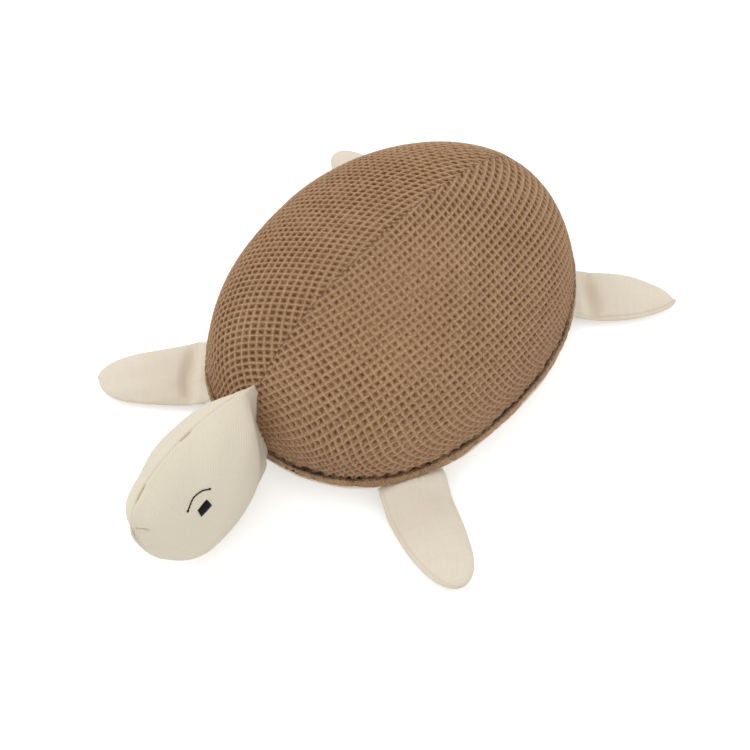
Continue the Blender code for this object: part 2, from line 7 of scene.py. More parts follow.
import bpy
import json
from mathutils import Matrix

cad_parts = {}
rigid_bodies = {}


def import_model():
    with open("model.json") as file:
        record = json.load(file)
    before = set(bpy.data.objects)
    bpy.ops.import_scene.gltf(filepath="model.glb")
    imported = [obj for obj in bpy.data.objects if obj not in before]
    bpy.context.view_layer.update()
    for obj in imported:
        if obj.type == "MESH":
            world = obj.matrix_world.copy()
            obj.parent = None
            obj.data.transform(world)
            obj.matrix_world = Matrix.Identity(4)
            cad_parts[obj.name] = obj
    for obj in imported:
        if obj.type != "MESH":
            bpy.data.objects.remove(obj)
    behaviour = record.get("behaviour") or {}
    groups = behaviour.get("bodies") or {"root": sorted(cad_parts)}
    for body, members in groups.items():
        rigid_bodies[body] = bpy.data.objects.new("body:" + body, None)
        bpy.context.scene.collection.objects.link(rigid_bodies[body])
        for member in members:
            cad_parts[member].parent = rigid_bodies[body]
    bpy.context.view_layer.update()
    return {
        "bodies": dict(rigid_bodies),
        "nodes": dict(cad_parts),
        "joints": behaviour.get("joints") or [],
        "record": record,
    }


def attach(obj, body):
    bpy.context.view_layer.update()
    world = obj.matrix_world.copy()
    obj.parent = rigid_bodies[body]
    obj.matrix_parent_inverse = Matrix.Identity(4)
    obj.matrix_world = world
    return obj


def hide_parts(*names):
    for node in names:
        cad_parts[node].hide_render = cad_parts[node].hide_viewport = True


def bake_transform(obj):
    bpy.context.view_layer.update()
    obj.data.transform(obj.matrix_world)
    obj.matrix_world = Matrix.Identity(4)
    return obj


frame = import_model()

import json
from contextlib import contextmanager
from math import atan2, cos, pi, radians, sin, tan

import bmesh
import bpy
import numpy as np
from bpy.props import FloatProperty, FloatVectorProperty, IntProperty, PointerProperty
from bpy.types import Operator, Panel, PropertyGroup
from mathutils import Matrix, Vector, noise
from mathutils.bvhtree import BVHTree

bl_info = {
    "name": "Plush turtle cloth",
    "version": (1, 0, 0),
    "blender": (4, 5, 0),
    "location": "View3D > Sidebar > Turtle",
    "description": "Sews the cloth, thread and wadding of a stuffed turtle",
    "category": "Object",
}

# Shape of the dome, as shares of its half length and powers of its outlines
WIDEST_PLACE_SHARE = 0.0143
TOP_PLACE_SHARE = -0.047
SEAM_OFFSET_SHARE = -0.034
SEAM_SKEW_SHARE = 0.067
SIDE_PINCH_SHARE = -0.185
FRONT_POWER = 2.387
REAR_POWER = 1.907
CROWN_POWER = 1.76
SIDE_POWER = 3.33
ROLL_POWER = 2.6
BELLY_POWER = 1.3
TURN_POWER = 1.1
MIDDLE_POWER = 1.5
SEAM_POWER = 4

# Shape of the head, as (share of its length, share of its height or half width)
CREST_SHARES = ((0, 0.798), (0.33, 0.948), (0.66, 1.010), (1, 1.015))
CHIN_SHARES = ((0, 0.130), (0.3, 0.024), (0.7, 0.024), (1, 0.090))
CHEEK_SHARES = ((0, 0.275), (0.4, 0.937), (0.8, 1.0), (1, 0.80))
CHEEK_LEVEL_SHARE = 0.589
CHEEK_RISE_SHARE = 0.10
NOSE_POWER = 6.14
TAPER_POWER = 1.292
RIDGE_POWER = 0.594
ROLL_LEVEL_SHARE = 0.45
HEAD_YAW = radians(2.26)
HEAD_ROLL = radians(7.58)
NECK_DRAFT = radians(9)
NECK_DRAW_SHARE = 0.95
NECK_DRAW_REACH = 0.12
HEAD_WAVE = 0.0007

# Places on the face, as (share of the head's length, share from chin seam to crest seam)
EYE_CORNER_SHARES = ((0.657, 0.022), (0.637, -0.121), (0.7035, -0.193), (0.714, -0.060))
EYELID_SHARES = (
    (0.622, 0.23),
    (0.652, 0.287),
    (0.676, 0.295),
    (0.705, 0.275),
    (0.728, 0.213),
    (0.748, 0.108),
    (0.762, 0.022),
)
DART_SHARES = ((0.990, 0.20), (0.972, 0.06), (0.949, -0.08))

# Threads of the waffle cloth on the dome: how far the warp bows out per square of the distance
# from the top and where that ends, how far the weft leans forward and where it turns back, and
# the slow change in the warp's spacing
WARP_BOW = 2.24
WARP_BOW_REACH = 0.25
WEFT_LEAN = 0.40
WEFT_LEAN_REACH = 0.10
WARP_STRETCH = 0.0022
WARP_STRETCH_REACH = 0.16

# Where the waffle cloth is stretched over the dome, so that its cells are shallower, and how deep
# they are elsewhere and how much of that they lose there; then how strong the painted shade in the
# cells and the painted highlight on their ridges are elsewhere, and how much of that they lose
# there
STRETCH_PLACE = (0.030, -0.050, 0.100)
STRETCH_REACH = 0.065
SLACK_DEPTH, STRETCH_DEPTH = 1.12, 0.45
SLACK_SHADE, STRETCH_SHADE = 1.2, 0.55

# Where the cells of each panel start, along weft and warp, how steep their sides are, and where
# the shadow in them lies
WAFFLE_STARTS = {1: (0.35, 0.0), -1: (0.8, 0.45)}
WAFFLE_POWER = 1.15
CELL_SHADOW = (0.14, -0.10)

# Length of the twill's slanting lines along the weft, as a share of the distance between two ribs
TWILL_SLANT_SHARE = 0.707

# Shell's seam and foot: reach of the slit, distance between the places where it is caught deeper,
# where behind the top these end and over what distance they fade, how unevenly they come, depth of
# the dip beside the slit, and reach of the gathers, the bunched cloth, the cloth drawn in above the
# hem and the line of painted shade there
SLIT_REACH = 0.0007
CATCH_PITCH = 0.0125
CATCH_END, CATCH_FADE = 0.048, 0.12
CATCH_WANDER, CATCH_TURN = 5, 61
SEAM_DIP = 0.0004
GATHER_REACH = 0.013
BUNCH_REACH = 0.014
DRAW_REACH = 0.0052
FOLD_REACH = 0.0022

# Hem: twist of its ridges round the roll, depth of the ridges and share of the hem that has them,
# how far it wanders up and down, range of a pucker's half width and of its slant, and how much
# thinner it is beside the neck and two flippers
HEM_TWIST = 0.45
HEM_RIB = 0.00014
HEM_FIRM = 0.22
HEM_LIFT = 0.0006
PUCKER_REACHES = (0.0007, 0.0017)
PUCKER_SLANTS = (-0.0016, 0.0022)
HEM_THINNER = 0.30
HEM_NECK_REACH, HEM_ROOT_REACH = 0.060, 0.026

# Height of the gather thread above the hem, and how far the blotches lean round the roll
GATHER_THREAD_LIFT = 0.0007
BLOTCH_LEAN = 0.002

# Level under the hem where the belly cloth swells, how far round the turn its edge goes up, and how
# far from the neck and from a flipper's root it can't swell
BULGE_LEVEL, BULGE_REACH = 0.86, 0.14
LAP_REACH = 0.03
BELLY_NECK_REACH, BELLY_ROOT_REACH = 0.030, 0.027

# Chance values along the rim, by what they change: how often they do, and their seed
CHANCE = {
    "fold": (90, 21),
    "cells": (60, 5),
    "gathers": (150, 2),
    "drawn in": (70, 3),
    "ridges": (70, 8),
    "firmness": (64, 9),
    "lift": (80, 4),
    "blotches": (300, 21),
    "thickness": (46, 7),
    "lumps": (150, 6),
    "belly": (40, 12),
}
PUCKER_SEED = 11

# Creases along the head's seams, as (first, last share of its length, depth)
CREST_CREASE_SHARES = ((0.465, 0.570, 0.85), (0.835, 0.940, 1.0), (0.15, 0.21, 0.25))
CHIN_CREASE_SHARES = ((0.935, 1.03, 0.9), (0.40, 0.48, 0.5))
CREASE_FADE = 0.03

# Across such a seam: where the cloth stands up beside it, how wide that is and how wide its valley
# is, then the same for a pucker, with the hollow round it and its line of painted shade
SEAM_LIP, SEAM_LIP_REACH, SEAM_REACH = 0.0021, 0.0013, 0.0007
PUCKER_LIP, PUCKER_LIP_REACH, PUCKER_REACH = 0.0045, 0.0022, 0.0011
PUCKER_HOLLOW_REACH, PUCKER_LINE = 0.006, 0.0006

# Where the stuffing swells the head: share of its length and reach along it, then level between
# chin and crest and reach there
JOWL = (0.72, 0.30, -0.80, 0.36)
SNOUT = (0.92, 0.10, 0.50, 0.50)

# The nose darts' depth, reach, line of painted shade and depth of their thread, the dimples round
# them, how much the snout swells for each part that the jowls do, and where the skin ends at the
# nose
DART_DEPTH, DART_REACH = 0.0006, 0.0009
DIMPLE_DEPTH, DIMPLE_REACH = 0.0005, 0.0045
DART_LINE, DART_SUNK = 0.0006, 0.0009
SNOUT_SHARE = 0.53
NOSE_END_SHARE = 0.9999

# How far from the crest seam and the chin seam the stuffing doesn't swell the cloth
CREST_HELD_REACH, CHIN_HELD_REACH = 0.012, 0.009

# Neck cloth: share of the head's rear edge that it narrows to, how far it goes under the shell's
# cloth, how straight it leaves the shell and the head, and its length for the twill's ribs
NECK_NARROW = 0.80
NECK_UNDER = 0.0012
NECK_LEAVE, NECK_REACH = 0.0030, 0.0012
NECK_CLOTH = 0.008

# How far before the neck's plane the head's bend would start, and where the neck's would start and
# stop; these only make points that add_piece is given and doesn't use
HEAD_BEND_START = 0.0035
NECK_BEND_START, NECK_BEND_END = -0.0015, -0.0001

# Flippers: side of the body, heading in degrees from +X, root's share of the half length, which
# length and the share of it that shows in the photograph, width lost at the tip, power of the
# tip's outline, share of the length that is tucked under the hem, height of the root's top above
# the hem's lower edge, share of the crown lost in the dent, how far the tip is cut aslant, strength
# of the groove beside the edge on one side (0.1 on the other), with its painted shadow line, and
# shares by which it is fuller on its right and on its left edge seen from the root: half way, at
# the root and near the tip
FLIPPERS = {
    "front_left": dict(
        side=1, heading=-32.1, place=-0.712, length="front_length", shown=0.968, taper=0.17,
        tip=3.8, tuck=0.0, lap=0.0034, dent=0.25, slant=0.0, line=0.35,
        fuller=(0.05, -0.03), root=(-0.02, -0.04), end=(0.013, 0.038),
    ),
    "front_right": dict(
        side=-1, heading=214.65, place=-0.770, length="front_length", shown=1.005, taper=0.108,
        tip=4.8, tuck=0.10, lap=-0.0021, dent=0.95, slant=-0.008, line=0.0,
        fuller=(0.135, -0.06), root=(0.32, -0.05), end=(-0.020, 0.052),
    ),
    "rear_left": dict(
        side=1, heading=34.6, place=0.639, length="rear_length", shown=0.973, taper=0.248,
        tip=3.5, tuck=0.0, lap=-0.0030, dent=0.85, slant=-0.03, line=0.45,
        fuller=(0.02, 0.085), root=(-0.088, -0.086), end=(-0.050, -0.140),
    ),
    "rear_right": dict(
        side=-1, heading=162.0, place=0.639, length="rear_length", shown=1.0, taper=0.26,
        tip=4.0, tuck=0.19, lap=0.0, dent=0.40, slant=0.0, line=0.3,
        fuller=(0.05, 0.0), root=(0.0, 0.0), end=(0.0, 0.0),
    ),
}

# All flippers: powers of the outline across and along, reach of the root's fullness, place and
# reach of the tip's, how the dent's line wanders across and how dark it is, depth of the folds and
# reach of the root's pleats, depth, pitch and reach of the edge's puckers, place, width and depth
# of the line beside the edge, how far out its seam lies, how far the cloth goes in under the hem,
# how far below the hem it ends and the share of its way up, and how far before and after the root
# lie the two points handed to add_piece, which doesn't use them
FLIPPER_CROWN_POWER = 2.2
FLIPPER_END_POWER = 6.0
ROOT_REACH = 0.026
TIP_PLACE, TIP_REACH = 0.88, 0.20
# DENT_SHADE: how dark the painted shade in the dent is
DENT_WANDER, DENT_TURN, DENT_SHADE = 0.30, 2.2, 0.28
FLIPPER_FOLD, PLEAT_REACH = 0.0005, 0.009
EDGE_PUCKER, EDGE_PITCH, EDGE_REACH = 0.00018, 0.0068, 0.004
# The groove beside the edge also carries a painted shadow line
EDGE_LINE, EDGE_LINE_REACH, EDGE_LINE_DEPTH = 0.0021, 0.0005, 0.0005
EDGE_SEAM_OUT = 0.00005
TUCK_DEPTH, TUCK_UNDER, TUCK_SHARE = 0.0045, 0.0012, 0.55
BEND_BEFORE, BEND_AFTER = 0.0012, 0.010

# Gap that the head and the flippers keep from the hem, as the solids do
SEAT_GAP = 0.0003

# Counts of points and steps, and powers that set the spacing of rows
GUIDE_ROWS, GUIDE_COLUMNS = 96, 288
RIM_STEPS = 4096
RIDGE_STEPS = 2001
SECTION_STEPS = 400
BELLY_ROWS, BELLY_COLUMNS = 25, 540
HEAD_ROWS, HEAD_COLUMNS = 210, 140
NECK_ROWS = 13
FLIPPER_ROWS, FLIPPER_COLUMNS = 110, 56
STUFFING_ROWS, STUFFING_COLUMNS = 40, 18
TIP_SPACING, GUIDE_SPACING, RIDGE_SPACING = 1.7, 1.6, 2.5
LEAN_STEPS = 40
START_STEPS = 30

# Wadding: gap that it keeps from a flipper's cloth, how far it is drawn in and how unevenly
STUFFING_GAP = 0.0014
TUFT_DEPTH, TUFT_SCALE = 0.0005, 150

# The camera's place and turn, the direction that the lamp shines from, and half the floor's width
# and its drop below the ground, which keeps it clear of the cloth
CAMERA_PLACE = (0.4755, -0.6860, 1.0145)
CAMERA_RIGHT = (0.8090, 0.5878, 0)
CAMERA_UP = (-0.4627, 0.6369, 0.6167)
CAMERA_FORWARD = (-0.3625, 0.4989, -0.7872)
LAMP_SIDE = (-0.60, 0.12, 1.0)
FLOOR_HALF = 4
FLOOR_DROP = 0.0002

# The two sides that a mirrored piece is made for
SIDES = {"left": 1, "right": -1}


def length(name, value, description):
    """A size in metres that the sidebar shows."""
    return FloatProperty(
        name=name, description=description, default=value, min=0, precision=4, unit="LENGTH"
    )


def colour(name, value, description):
    """A colour that the sidebar shows."""
    return FloatVectorProperty(
        name=name, description=description, default=value, size=3, min=0, max=1, subtype="COLOR"
    )


class TurtleShell(PropertyGroup):
    """Sizes and colours of the dome and its centre seam."""

    dome_length: length("Length", 0.320, "Length of the dome at its rim")
    dome_width: length("Width", 0.236, "Width of the dome at its rim")
    dome_height: length("Height", 0.117, "Height of the dome above the floor")
    rim_height: length("Rim height", 0.022, "Height of the widest line")
    cell: length("Waffle cell", 0.0053, "Distance between two ridges of the waffle weave")
    depth: length("Waffle depth", 0.0020, "Depth of a cell below its ridges")
    mesh: length("Mesh", 0.00075, "Distance between two points of the cloth's mesh")
    gather: length("Gathers", 0.0006, "Depth of the gathers just above the hem")
    bunch: length("Bunching", 0.010, "Cloth that is bunched up just above the hem")
    seam: length("Seam depth", 0.0014, "Depth of the slit between the two panels")
    # The waffle's colour runs between these two: painted shade in the cells' cores darkens it
    # towards the pit colour, and a painted highlight on the ridges lightens it towards the ridge
    # colour
    ridge: colour("Ridges", (0.650, 0.419, 0.238), "Colour of the waffle's ridges")
    pit: colour("Pits", (0.155, 0.056, 0.012), "Colour at the bottom of a cell")
    thread: colour("Thread", (0.100, 0.050, 0.024), "Colour of the seam's thread")
    thread_size: length("Thread size", 0.0005, "Thickness of the seam's thread")


class TurtleHem(PropertyGroup):
    """Sizes of the rolled hem."""

    band: length("Height", 0.008, "Height of the rolled band")
    roll: length("Depth", 0.006, "Depth of the rolled band")
    proud: length("Proud", 0.0005, "How far it stands out from the rim")
    slack: FloatProperty(
        name="Slack",
        description="Share of the band that the cloth fills",
        default=0.84,
        min=0.5,
        max=1,
        subtype="FACTOR",
    )
    pucker: length("Pucker", 0.0016, "Depth of its puckers")
    pucker_pitch: length("Pucker pitch", 0.0105, "Mean distance between two puckers")
    strand: length("Strand", 0.0021, "Distance between two ridges crushed in the roll")
    crease: length("Crease", 0.0025, "How far the cloth above it is drawn in")


class TurtleBelly(PropertyGroup):
    """Sizes and colour of the belly cloth."""

    inset: length("Inset", 0.002, "Distance from the rim to its upper edge")
    flat_inset: length("Flat inset", 0.024, "Distance from the rim to the flat base")
    bulge: length("Bulge", 0.0019, "How far it swells out just under the hem")
    lap: length("Lap", 0.0018, "How far its upper edge goes up into the hem")
    yarn: length("Yarn", 0.0009, "Distance between two yarns of the cloth")
    cloth: colour("Cloth", (0.700, 0.620, 0.500), "Colour of the belly cloth")


class TurtleHead(PropertyGroup):
    """Sizes and colours of the head."""

    head_length: length("Length", 0.1317, "Length from the neck to the nose")
    head_width: length("Width", 0.0715, "Width over the cheeks")
    head_height: length("Height", 0.1000, "Height that its outline is drawn to")
    offset: FloatProperty(
        name="Offset",
        description="Sideways place of the neck",
        default=-0.0116,
        precision=4,
        unit="LENGTH",
    )
    set_out: length("Set out", 0.0018, "Distance of the crest's corner before the neck plane")
    bend: length("Neck bend", 0.040, "Length of cloth that bends when the head nods")
    seam_depth: length("Seam depth", 0.00035, "Depth of the valley along a seam")
    pucker: length("Pucker", 0.0011, "Depth of the puckers in the crest seam")
    full: length("Fullness", 0.0054, "How far the stuffing swells the nose and the jowls")
    rib: length("Twill rib", 0.0018, "Distance between two ribs of the twill")
    stitch: length("Stitch", 0.0019, "Length of one stitch of the seams")
    cloth: colour("Cloth", (0.727, 0.658, 0.526), "Colour of the twill")
    # Painted shade: the colour that the cloth turns to deep in its creases, puckers and nose darts
    crease: colour("Crease", (0.420, 0.270, 0.150), "Colour deep in a crease")
    thread: colour("Thread", (0.680, 0.590, 0.455), "Colour of the seam's thread")
    thread_size: length("Thread size", 0.00045, "Thickness of the seam's thread")


class TurtleFace(PropertyGroup):
    """Sizes and colour of the embroidery."""

    strand: length("Strand", 0.00055, "Thickness of one strand of satin stitch")
    line: length("Line", 0.00105, "Thickness of the eyelid's back stitch")
    stitch: length("Stitch", 0.0031, "Length of one back stitch")
    black: colour("Thread", (0.0045, 0.0040, 0.0040), "Colour of the embroidery")


class TurtleFlippers(PropertyGroup):
    """Sizes and colour of the flippers."""

    front_length: length("Front length", 0.085, "Length of a front flipper")
    rear_length: length("Rear length", 0.075, "Length of a rear flipper")
    width: length("Width", 0.050, "Width at the root")
    seam_height: length("Seam height", 0.0052, "Height of the edge seam above the floor")
    crown: length("Crown", 0.0065, "Rise of the top above the edge seam")
    floor_gap: length("Floor gap", 0.0004, "Clearance under a flipper")
    sag: length("Sag", 0.0100, "Distance over which the root comes down to the floor")
    dent_place: length("Dent place", 0.0090, "Distance of the dent from the root")
    dent_reach: length("Dent reach", 0.0055, "Half length of the dent")
    yarn: length("Yarn", 0.0008, "Distance between two yarns of the linen")
    stitch: length("Stitch", 0.0021, "Length of one stitch of the edge seam")
    thread_size: length("Thread size", 0.0005, "Thickness of the edge seam's thread")
    cloth: colour("Cloth", (0.755, 0.677, 0.551), "Colour of the linen")
    # Painted shade: the colour of the shadow line beside the edge and of the shade in the dent
    crease: colour("Crease", (0.560, 0.430, 0.290), "Colour of the line beside the edge")
    thread: colour("Thread", (0.660, 0.560, 0.420), "Colour of the edge seam")


class TurtleStage(PropertyGroup):
    """Light, floor and camera."""

    key: FloatProperty(name="Key light", description="Strength of the lamp", default=0.55, min=0)
    key_angle: FloatProperty(
        name="Softness", description="Lamp's apparent size", default=radians(50), subtype="ANGLE"
    )
    sky: FloatProperty(name="Sky", description="Strength of the white sky", default=1.0, min=0)
    lens: FloatProperty(
        name="Field of view", description="Camera's angle", default=radians(24), subtype="ANGLE"
    )
    floor: colour("Floor", (0.90, 0.90, 0.90), "Colour of the floor")


# Shader maths


class Signal:
    """A value in a material. Sums and products of signals add Math nodes."""

    def __init__(self, finish, socket):
        self.finish = finish
        self.socket = socket

    def __add__(self, other):
        return self.finish.math("ADD", self, other)

    def __sub__(self, other):
        return self.finish.math("SUBTRACT", self, other)

    def __rsub__(self, other):
        return self.finish.math("SUBTRACT", other, self)

    def __mul__(self, other):
        return self.finish.math("MULTIPLY", self, other)

    def __truediv__(self, other):
        return self.finish.math("DIVIDE", self, other)

    def __pow__(self, other):
        return self.finish.math("POWER", self, other)

    __radd__ = __add__
    __rmul__ = __mul__


class Graph:
    """A tree of nodes."""

    def node(self, kind, settings=None, inputs=None):
        """Adds a node, sets it up, then fills its sockets with values or links."""
        made = self.tree.nodes.new(kind)
        for key, value in (settings or {}).items():
            setattr(made, key, value)
        for key, value in (inputs or {}).items():
            self.feed(made.inputs[key], value)
        return made

    def feed(self, socket, value):
        """Links a signal or a socket to an input, or writes a number or colour on it."""
        if isinstance(value, Signal):
            value = value.socket
        if isinstance(value, bpy.types.NodeSocket):
            self.tree.links.new(value, socket)
        elif hasattr(value, "__len__") and len(socket.default_value) == 4:
            socket.default_value = (*value[:3], 1)
        else:
            socket.default_value = value


class Finish(Graph):
    """A procedural material."""

    def __init__(self, name, roughness, sheen=0.0, shine=0.25):
        self.material = bpy.data.materials.new(name)
        self.material.use_nodes = True
        self.tree = self.material.node_tree
        self.tree.nodes.clear()
        inputs = {
            "Roughness": roughness,
            "Specular IOR Level": shine,
            "Sheen Weight": sheen,
            "Sheen Roughness": 0.5,
        }
        self.shader = self.node("ShaderNodeBsdfPrincipled", {}, inputs)
        self.node("ShaderNodeOutputMaterial", {}, {"Surface": self.shader.outputs[0]})

    def math(self, operation, *values):
        """A Math node on some values."""
        node = self.node("ShaderNodeMath", {"operation": operation}, dict(enumerate(values)))
        return Signal(self, node.outputs[0])

    def mix(self, share, first, second):
        """A colour between two colours."""
        inputs = {0: share, 6: first, 7: second}
        return self.node("ShaderNodeMix", {"data_type": "RGBA"}, inputs).outputs[2]

    def place(self):
        """The object's own coordinates."""
        return self.node("ShaderNodeTexCoord").outputs["Object"]

    def weave_uv(self):
        """The two directions of the cloth, from its weave map."""
        source = self.node("ShaderNodeUVMap", {"uv_map": "weave"})
        apart = self.node("ShaderNodeSeparateXYZ", {}, {0: source.outputs[0]})
        return Signal(self, apart.outputs[0]), Signal(self, apart.outputs[1])

    def join(self, u, v):
        """A vector of two signals."""
        return self.node("ShaderNodeCombineXYZ", {}, {0: u, 1: v}).outputs[0]

    def noise(self, vector, scale, detail):
        """Noise on some coordinates, from 0 to 1."""
        inputs = {"Vector": vector, "Scale": scale, "Detail": detail}
        return Signal(self, self.node("ShaderNodeTexNoise", {}, inputs).outputs[0])

    def grain(self, scale, detail):
        """Noise on the object's own coordinates."""
        return self.noise(self.place(), scale, detail)

    def streaks(self, u, v, scale):
        """Noise on the weave map."""
        return self.noise(self.join(u, v), scale, 2)

    def wave(self, value, pitch):
        """A sine wave, from -1 to 1."""
        return self.math("SINE", value * (2 * pi / pitch))

    def from_middle(self, value):
        """Distance from the middle of a cell to its ridges, from 0 to 1."""
        return self.math("ABSOLUTE", self.math("FRACT", value) - 0.5) * 2

    def relief(self, height, distance):
        """A bump of that height, with 1 as tall as distance, on the normal."""
        bump = self.node("ShaderNodeBump", {}, {"Distance": distance, "Height": height})
        self.feed(self.shader.inputs["Normal"], bump.outputs[0])

    def paint(self, value):
        """The base colour."""
        self.feed(self.shader.inputs["Base Color"], value)

    def paint_cloth(self, plain, folded):
        """The base colour of a cloth, which turns to another one by its crease attribute: painted
        shade deep in its creases, and the hem's blotches.
        """
        depth = self.node("ShaderNodeAttribute", {"attribute_name": "crease"})
        self.paint(self.mix(depth.outputs["Fac"], plain, folded))


def tone(base, share):
    """A colour made lighter or darker by a share."""
    return tuple(min(part * share, 1) for part in base)


def waffle_finish(ridge, pit):
    """Brown waffle weave: stepped square cells between ridges, in fuzzy spun yarn."""
    finish = Finish("waffle_cotton", roughness=0.95, sheen=0.12)
    u, v = finish.weave_uv()
    rise = finish.math("MAXIMUM", finish.from_middle(u), finish.from_middle(v))
    fuzz = finish.grain(scale=650, detail=3)
    patch = finish.grain(scale=24, detail=2)
    yarn = finish.streaks(u, v, scale=5.5)
    cell = finish.join(finish.math("FLOOR", u), finish.math("FLOOR", v))
    chance = finish.node("ShaderNodeTexWhiteNoise", {"noise_dimensions": "2D"}, {0: cell})
    tint = Signal(finish, chance.outputs[0]) - 0.5
    # Painted shadow: each cell's core is darker, moved off its middle by CELL_SHADOW to where the
    # shadow of a wall falls
    shadow_u, shadow_v = u + CELL_SHADOW[0], v + CELL_SHADOW[1]
    shadow = finish.math("MAXIMUM", finish.from_middle(shadow_u), finish.from_middle(shadow_v))
    core = (1 - shadow) ** 2
    # slack weakens that painted shade, and the painted highlight on the ridges, round STRETCH_PLACE
    away = finish.node(
        "ShaderNodeVectorMath", {"operation": "DISTANCE"}, {0: finish.place(), 1: STRETCH_PLACE}
    )
    away = Signal(finish, away.outputs["Value"]) / STRETCH_REACH
    slack = SLACK_SHADE - finish.math("EXPONENT", away ** 2 * -1) * STRETCH_SHADE
    # Painted highlight on the ridges and painted shade in the cells' cores, over the yarn's own
    # uneven tone and a random tone per cell
    lighter = rise ** 6 * 0.41
    darker = core * (tint * 0.4 + 0.49)
    uneven = (fuzz - 0.5) * 0.95 + (patch - 0.5) * 0.20 + (yarn - 0.5) * 0.70 + tint * 0.06
    shade = (lighter - darker) * slack + 0.41 + uneven
    # Deep in the creases the colour turns very dark: painted shade
    finish.paint_cloth(finish.mix(shade, pit, ridge), tone(pit, 0.15))
    steps = finish.wave(rise, pitch=1 / 3)
    twist = finish.wave(u + v, pitch=1 / 7)
    height = rise ** 8 + steps * 0.30 + twist * 0.16 + fuzz * 1.1 + yarn * 0.9
    finish.relief(height, distance=0.00035)
    return finish.material


def twill_finish(cloth, crease, rib):
    """Cream twill: fine slanting ribs, and painted shade, a darker and warmer tone, deep in the
    creases.
    """
    finish = Finish("cream_twill", roughness=0.88, sheen=0.10)
    u, v = finish.weave_uv()
    slanting = rib / TWILL_SLANT_SHARE
    wobble = finish.streaks(u, v, scale=160) * 2.2
    slant = finish.math("SINE", (u - v) * (2 * pi / slanting) + wobble)
    cross = finish.wave(u + v, pitch=slanting / 1.7)
    fuzz = finish.grain(scale=700, detail=3)
    patch = finish.grain(scale=22, detail=2)
    shade = slant * 0.16 + fuzz * 0.34 + patch * 0.46 + 0.06
    finish.paint_cloth(finish.mix(shade, tone(cloth, 0.92), tone(cloth, 1.06)), crease)
    finish.relief(slant * 0.6 + cross * 0.14 + fuzz * 0.5, distance=0.00018)
    return finish.material


def linen_finish(name, cloth, crease, yarn):
    """Plain weave of cotton and linen, with thicker yarns that show as faint lines."""
    finish = Finish(name, roughness=0.92, sheen=0.08)
    u, v = finish.weave_uv()
    weave = finish.wave(u, pitch=yarn) * finish.wave(v, pitch=yarn)
    slubs = finish.streaks(u * 0.10, v, scale=420) + finish.streaks(u, v * 0.10, scale=420)
    fuzz = finish.grain(scale=600, detail=3)
    patch = finish.grain(scale=18, detail=2)
    shade = slubs * 0.5 + fuzz * 0.25 + patch * 0.35 + weave * 0.06 - 0.30
    # crease is painted shade: the shadow line beside the flippers' edges and the shade in their
    # dents; the belly passes its own cloth colour, so nothing is painted there
    finish.paint_cloth(finish.mix(shade, tone(cloth, 0.90), tone(cloth, 1.07)), crease)
    finish.relief(weave * 0.35 + slubs * 0.6 + fuzz * 0.4, distance=0.00016)
    return finish.material


def thread_finish(name, thread, roughness=0.75, sheen=0.1, shine=0.25):
    """Spun sewing thread."""
    finish = Finish(name, roughness, sheen, shine)
    fuzz = finish.grain(scale=1800, detail=2)
    finish.paint(finish.mix(fuzz, tone(thread, 0.75), tone(thread, 1.25)))
    finish.relief(fuzz, distance=0.00012)
    return finish.material


def wadding_finish():
    """Loose white fibre."""
    finish = Finish("polyester_fibre", roughness=0.9, sheen=0.3)
    tuft = finish.grain(scale=120, detail=4)
    finish.paint(finish.mix(tuft, (0.72, 0.72, 0.71), (0.92, 0.92, 0.91)))
    finish.relief(finish.grain(scale=380, detail=4), distance=0.0012)
    return finish.material


def floor_finish(floor):
    """A pale floor that is seen as white where no shadow falls."""
    finish = Finish("white_floor", roughness=1.0, shine=0.0)
    ray = finish.node("ShaderNodeLightPath").outputs
    seen = finish.math("MAXIMUM", ray["Is Camera Ray"], ray["Is Glossy Ray"])
    seen = finish.math("MAXIMUM", seen, ray["Is Transmission Ray"])
    finish.paint(finish.mix(seen, floor, (0.80, 0.80, 0.80)))
    lift = finish.mix(seen, (0, 0, 0), (0.44, 0.44, 0.44))
    finish.feed(finish.shader.inputs["Emission Color"], lift)
    finish.feed(finish.shader.inputs["Emission Strength"], 1)
    return finish.material


# Meshes


def mesh_of(name, points, faces, weave=None, crease=None):
    """A smooth mesh, with a weave map and its crease attribute, from 0 to 1, where given: how dark
    the cloth is painted, mostly painted shade in its creases.
    """
    mesh = bpy.data.meshes.new(name)
    mesh.from_pydata(np.asarray(points).reshape(-1, 3).tolist(), [], np.asarray(faces).tolist())
    if weave is not None:
        corners = np.zeros(len(mesh.loops), np.int32)
        mesh.loops.foreach_get("vertex_index", corners)
        layer = mesh.uv_layers.new(name="weave")
        flat = np.asarray(weave, np.float32).reshape(-1, 2)[corners]
        layer.data.foreach_set("uv", flat.ravel())
    if crease is not None:
        depth = mesh.attributes.new("crease", "FLOAT", "POINT")
        depth.data.foreach_set("value", np.asarray(crease, np.float32).ravel())
    mesh.shade_smooth()
    return mesh


def grid_faces(rows, columns, closed=False, flip=False):
    """Quads over a grid of points, closed round its columns or not."""
    across = columns if closed else columns - 1
    i, j = np.meshgrid(np.arange(rows - 1), np.arange(across), indexing="ij")
    after = (j + 1) % columns
    quads = [i * columns + j, i * columns + after, (i + 1) * columns + after, (i + 1) * columns + j]
    quads = np.stack(quads, -1).reshape(-1, 4)
    return quads[:, ::-1] if flip else quads


@contextmanager
def opened(mesh):
    """A mesh in the form that bmesh works on. It is written back at the end."""
    made = bmesh.new()
    made.from_mesh(mesh)
    yield made
    made.to_mesh(mesh)
    made.free()


def row_shares(count):
    """Shares of the length from 0 to 1, closer together towards the tip, as a column."""
    return 1 - (1 - np.arange(count + 1)[:, None] / count) ** TIP_SPACING


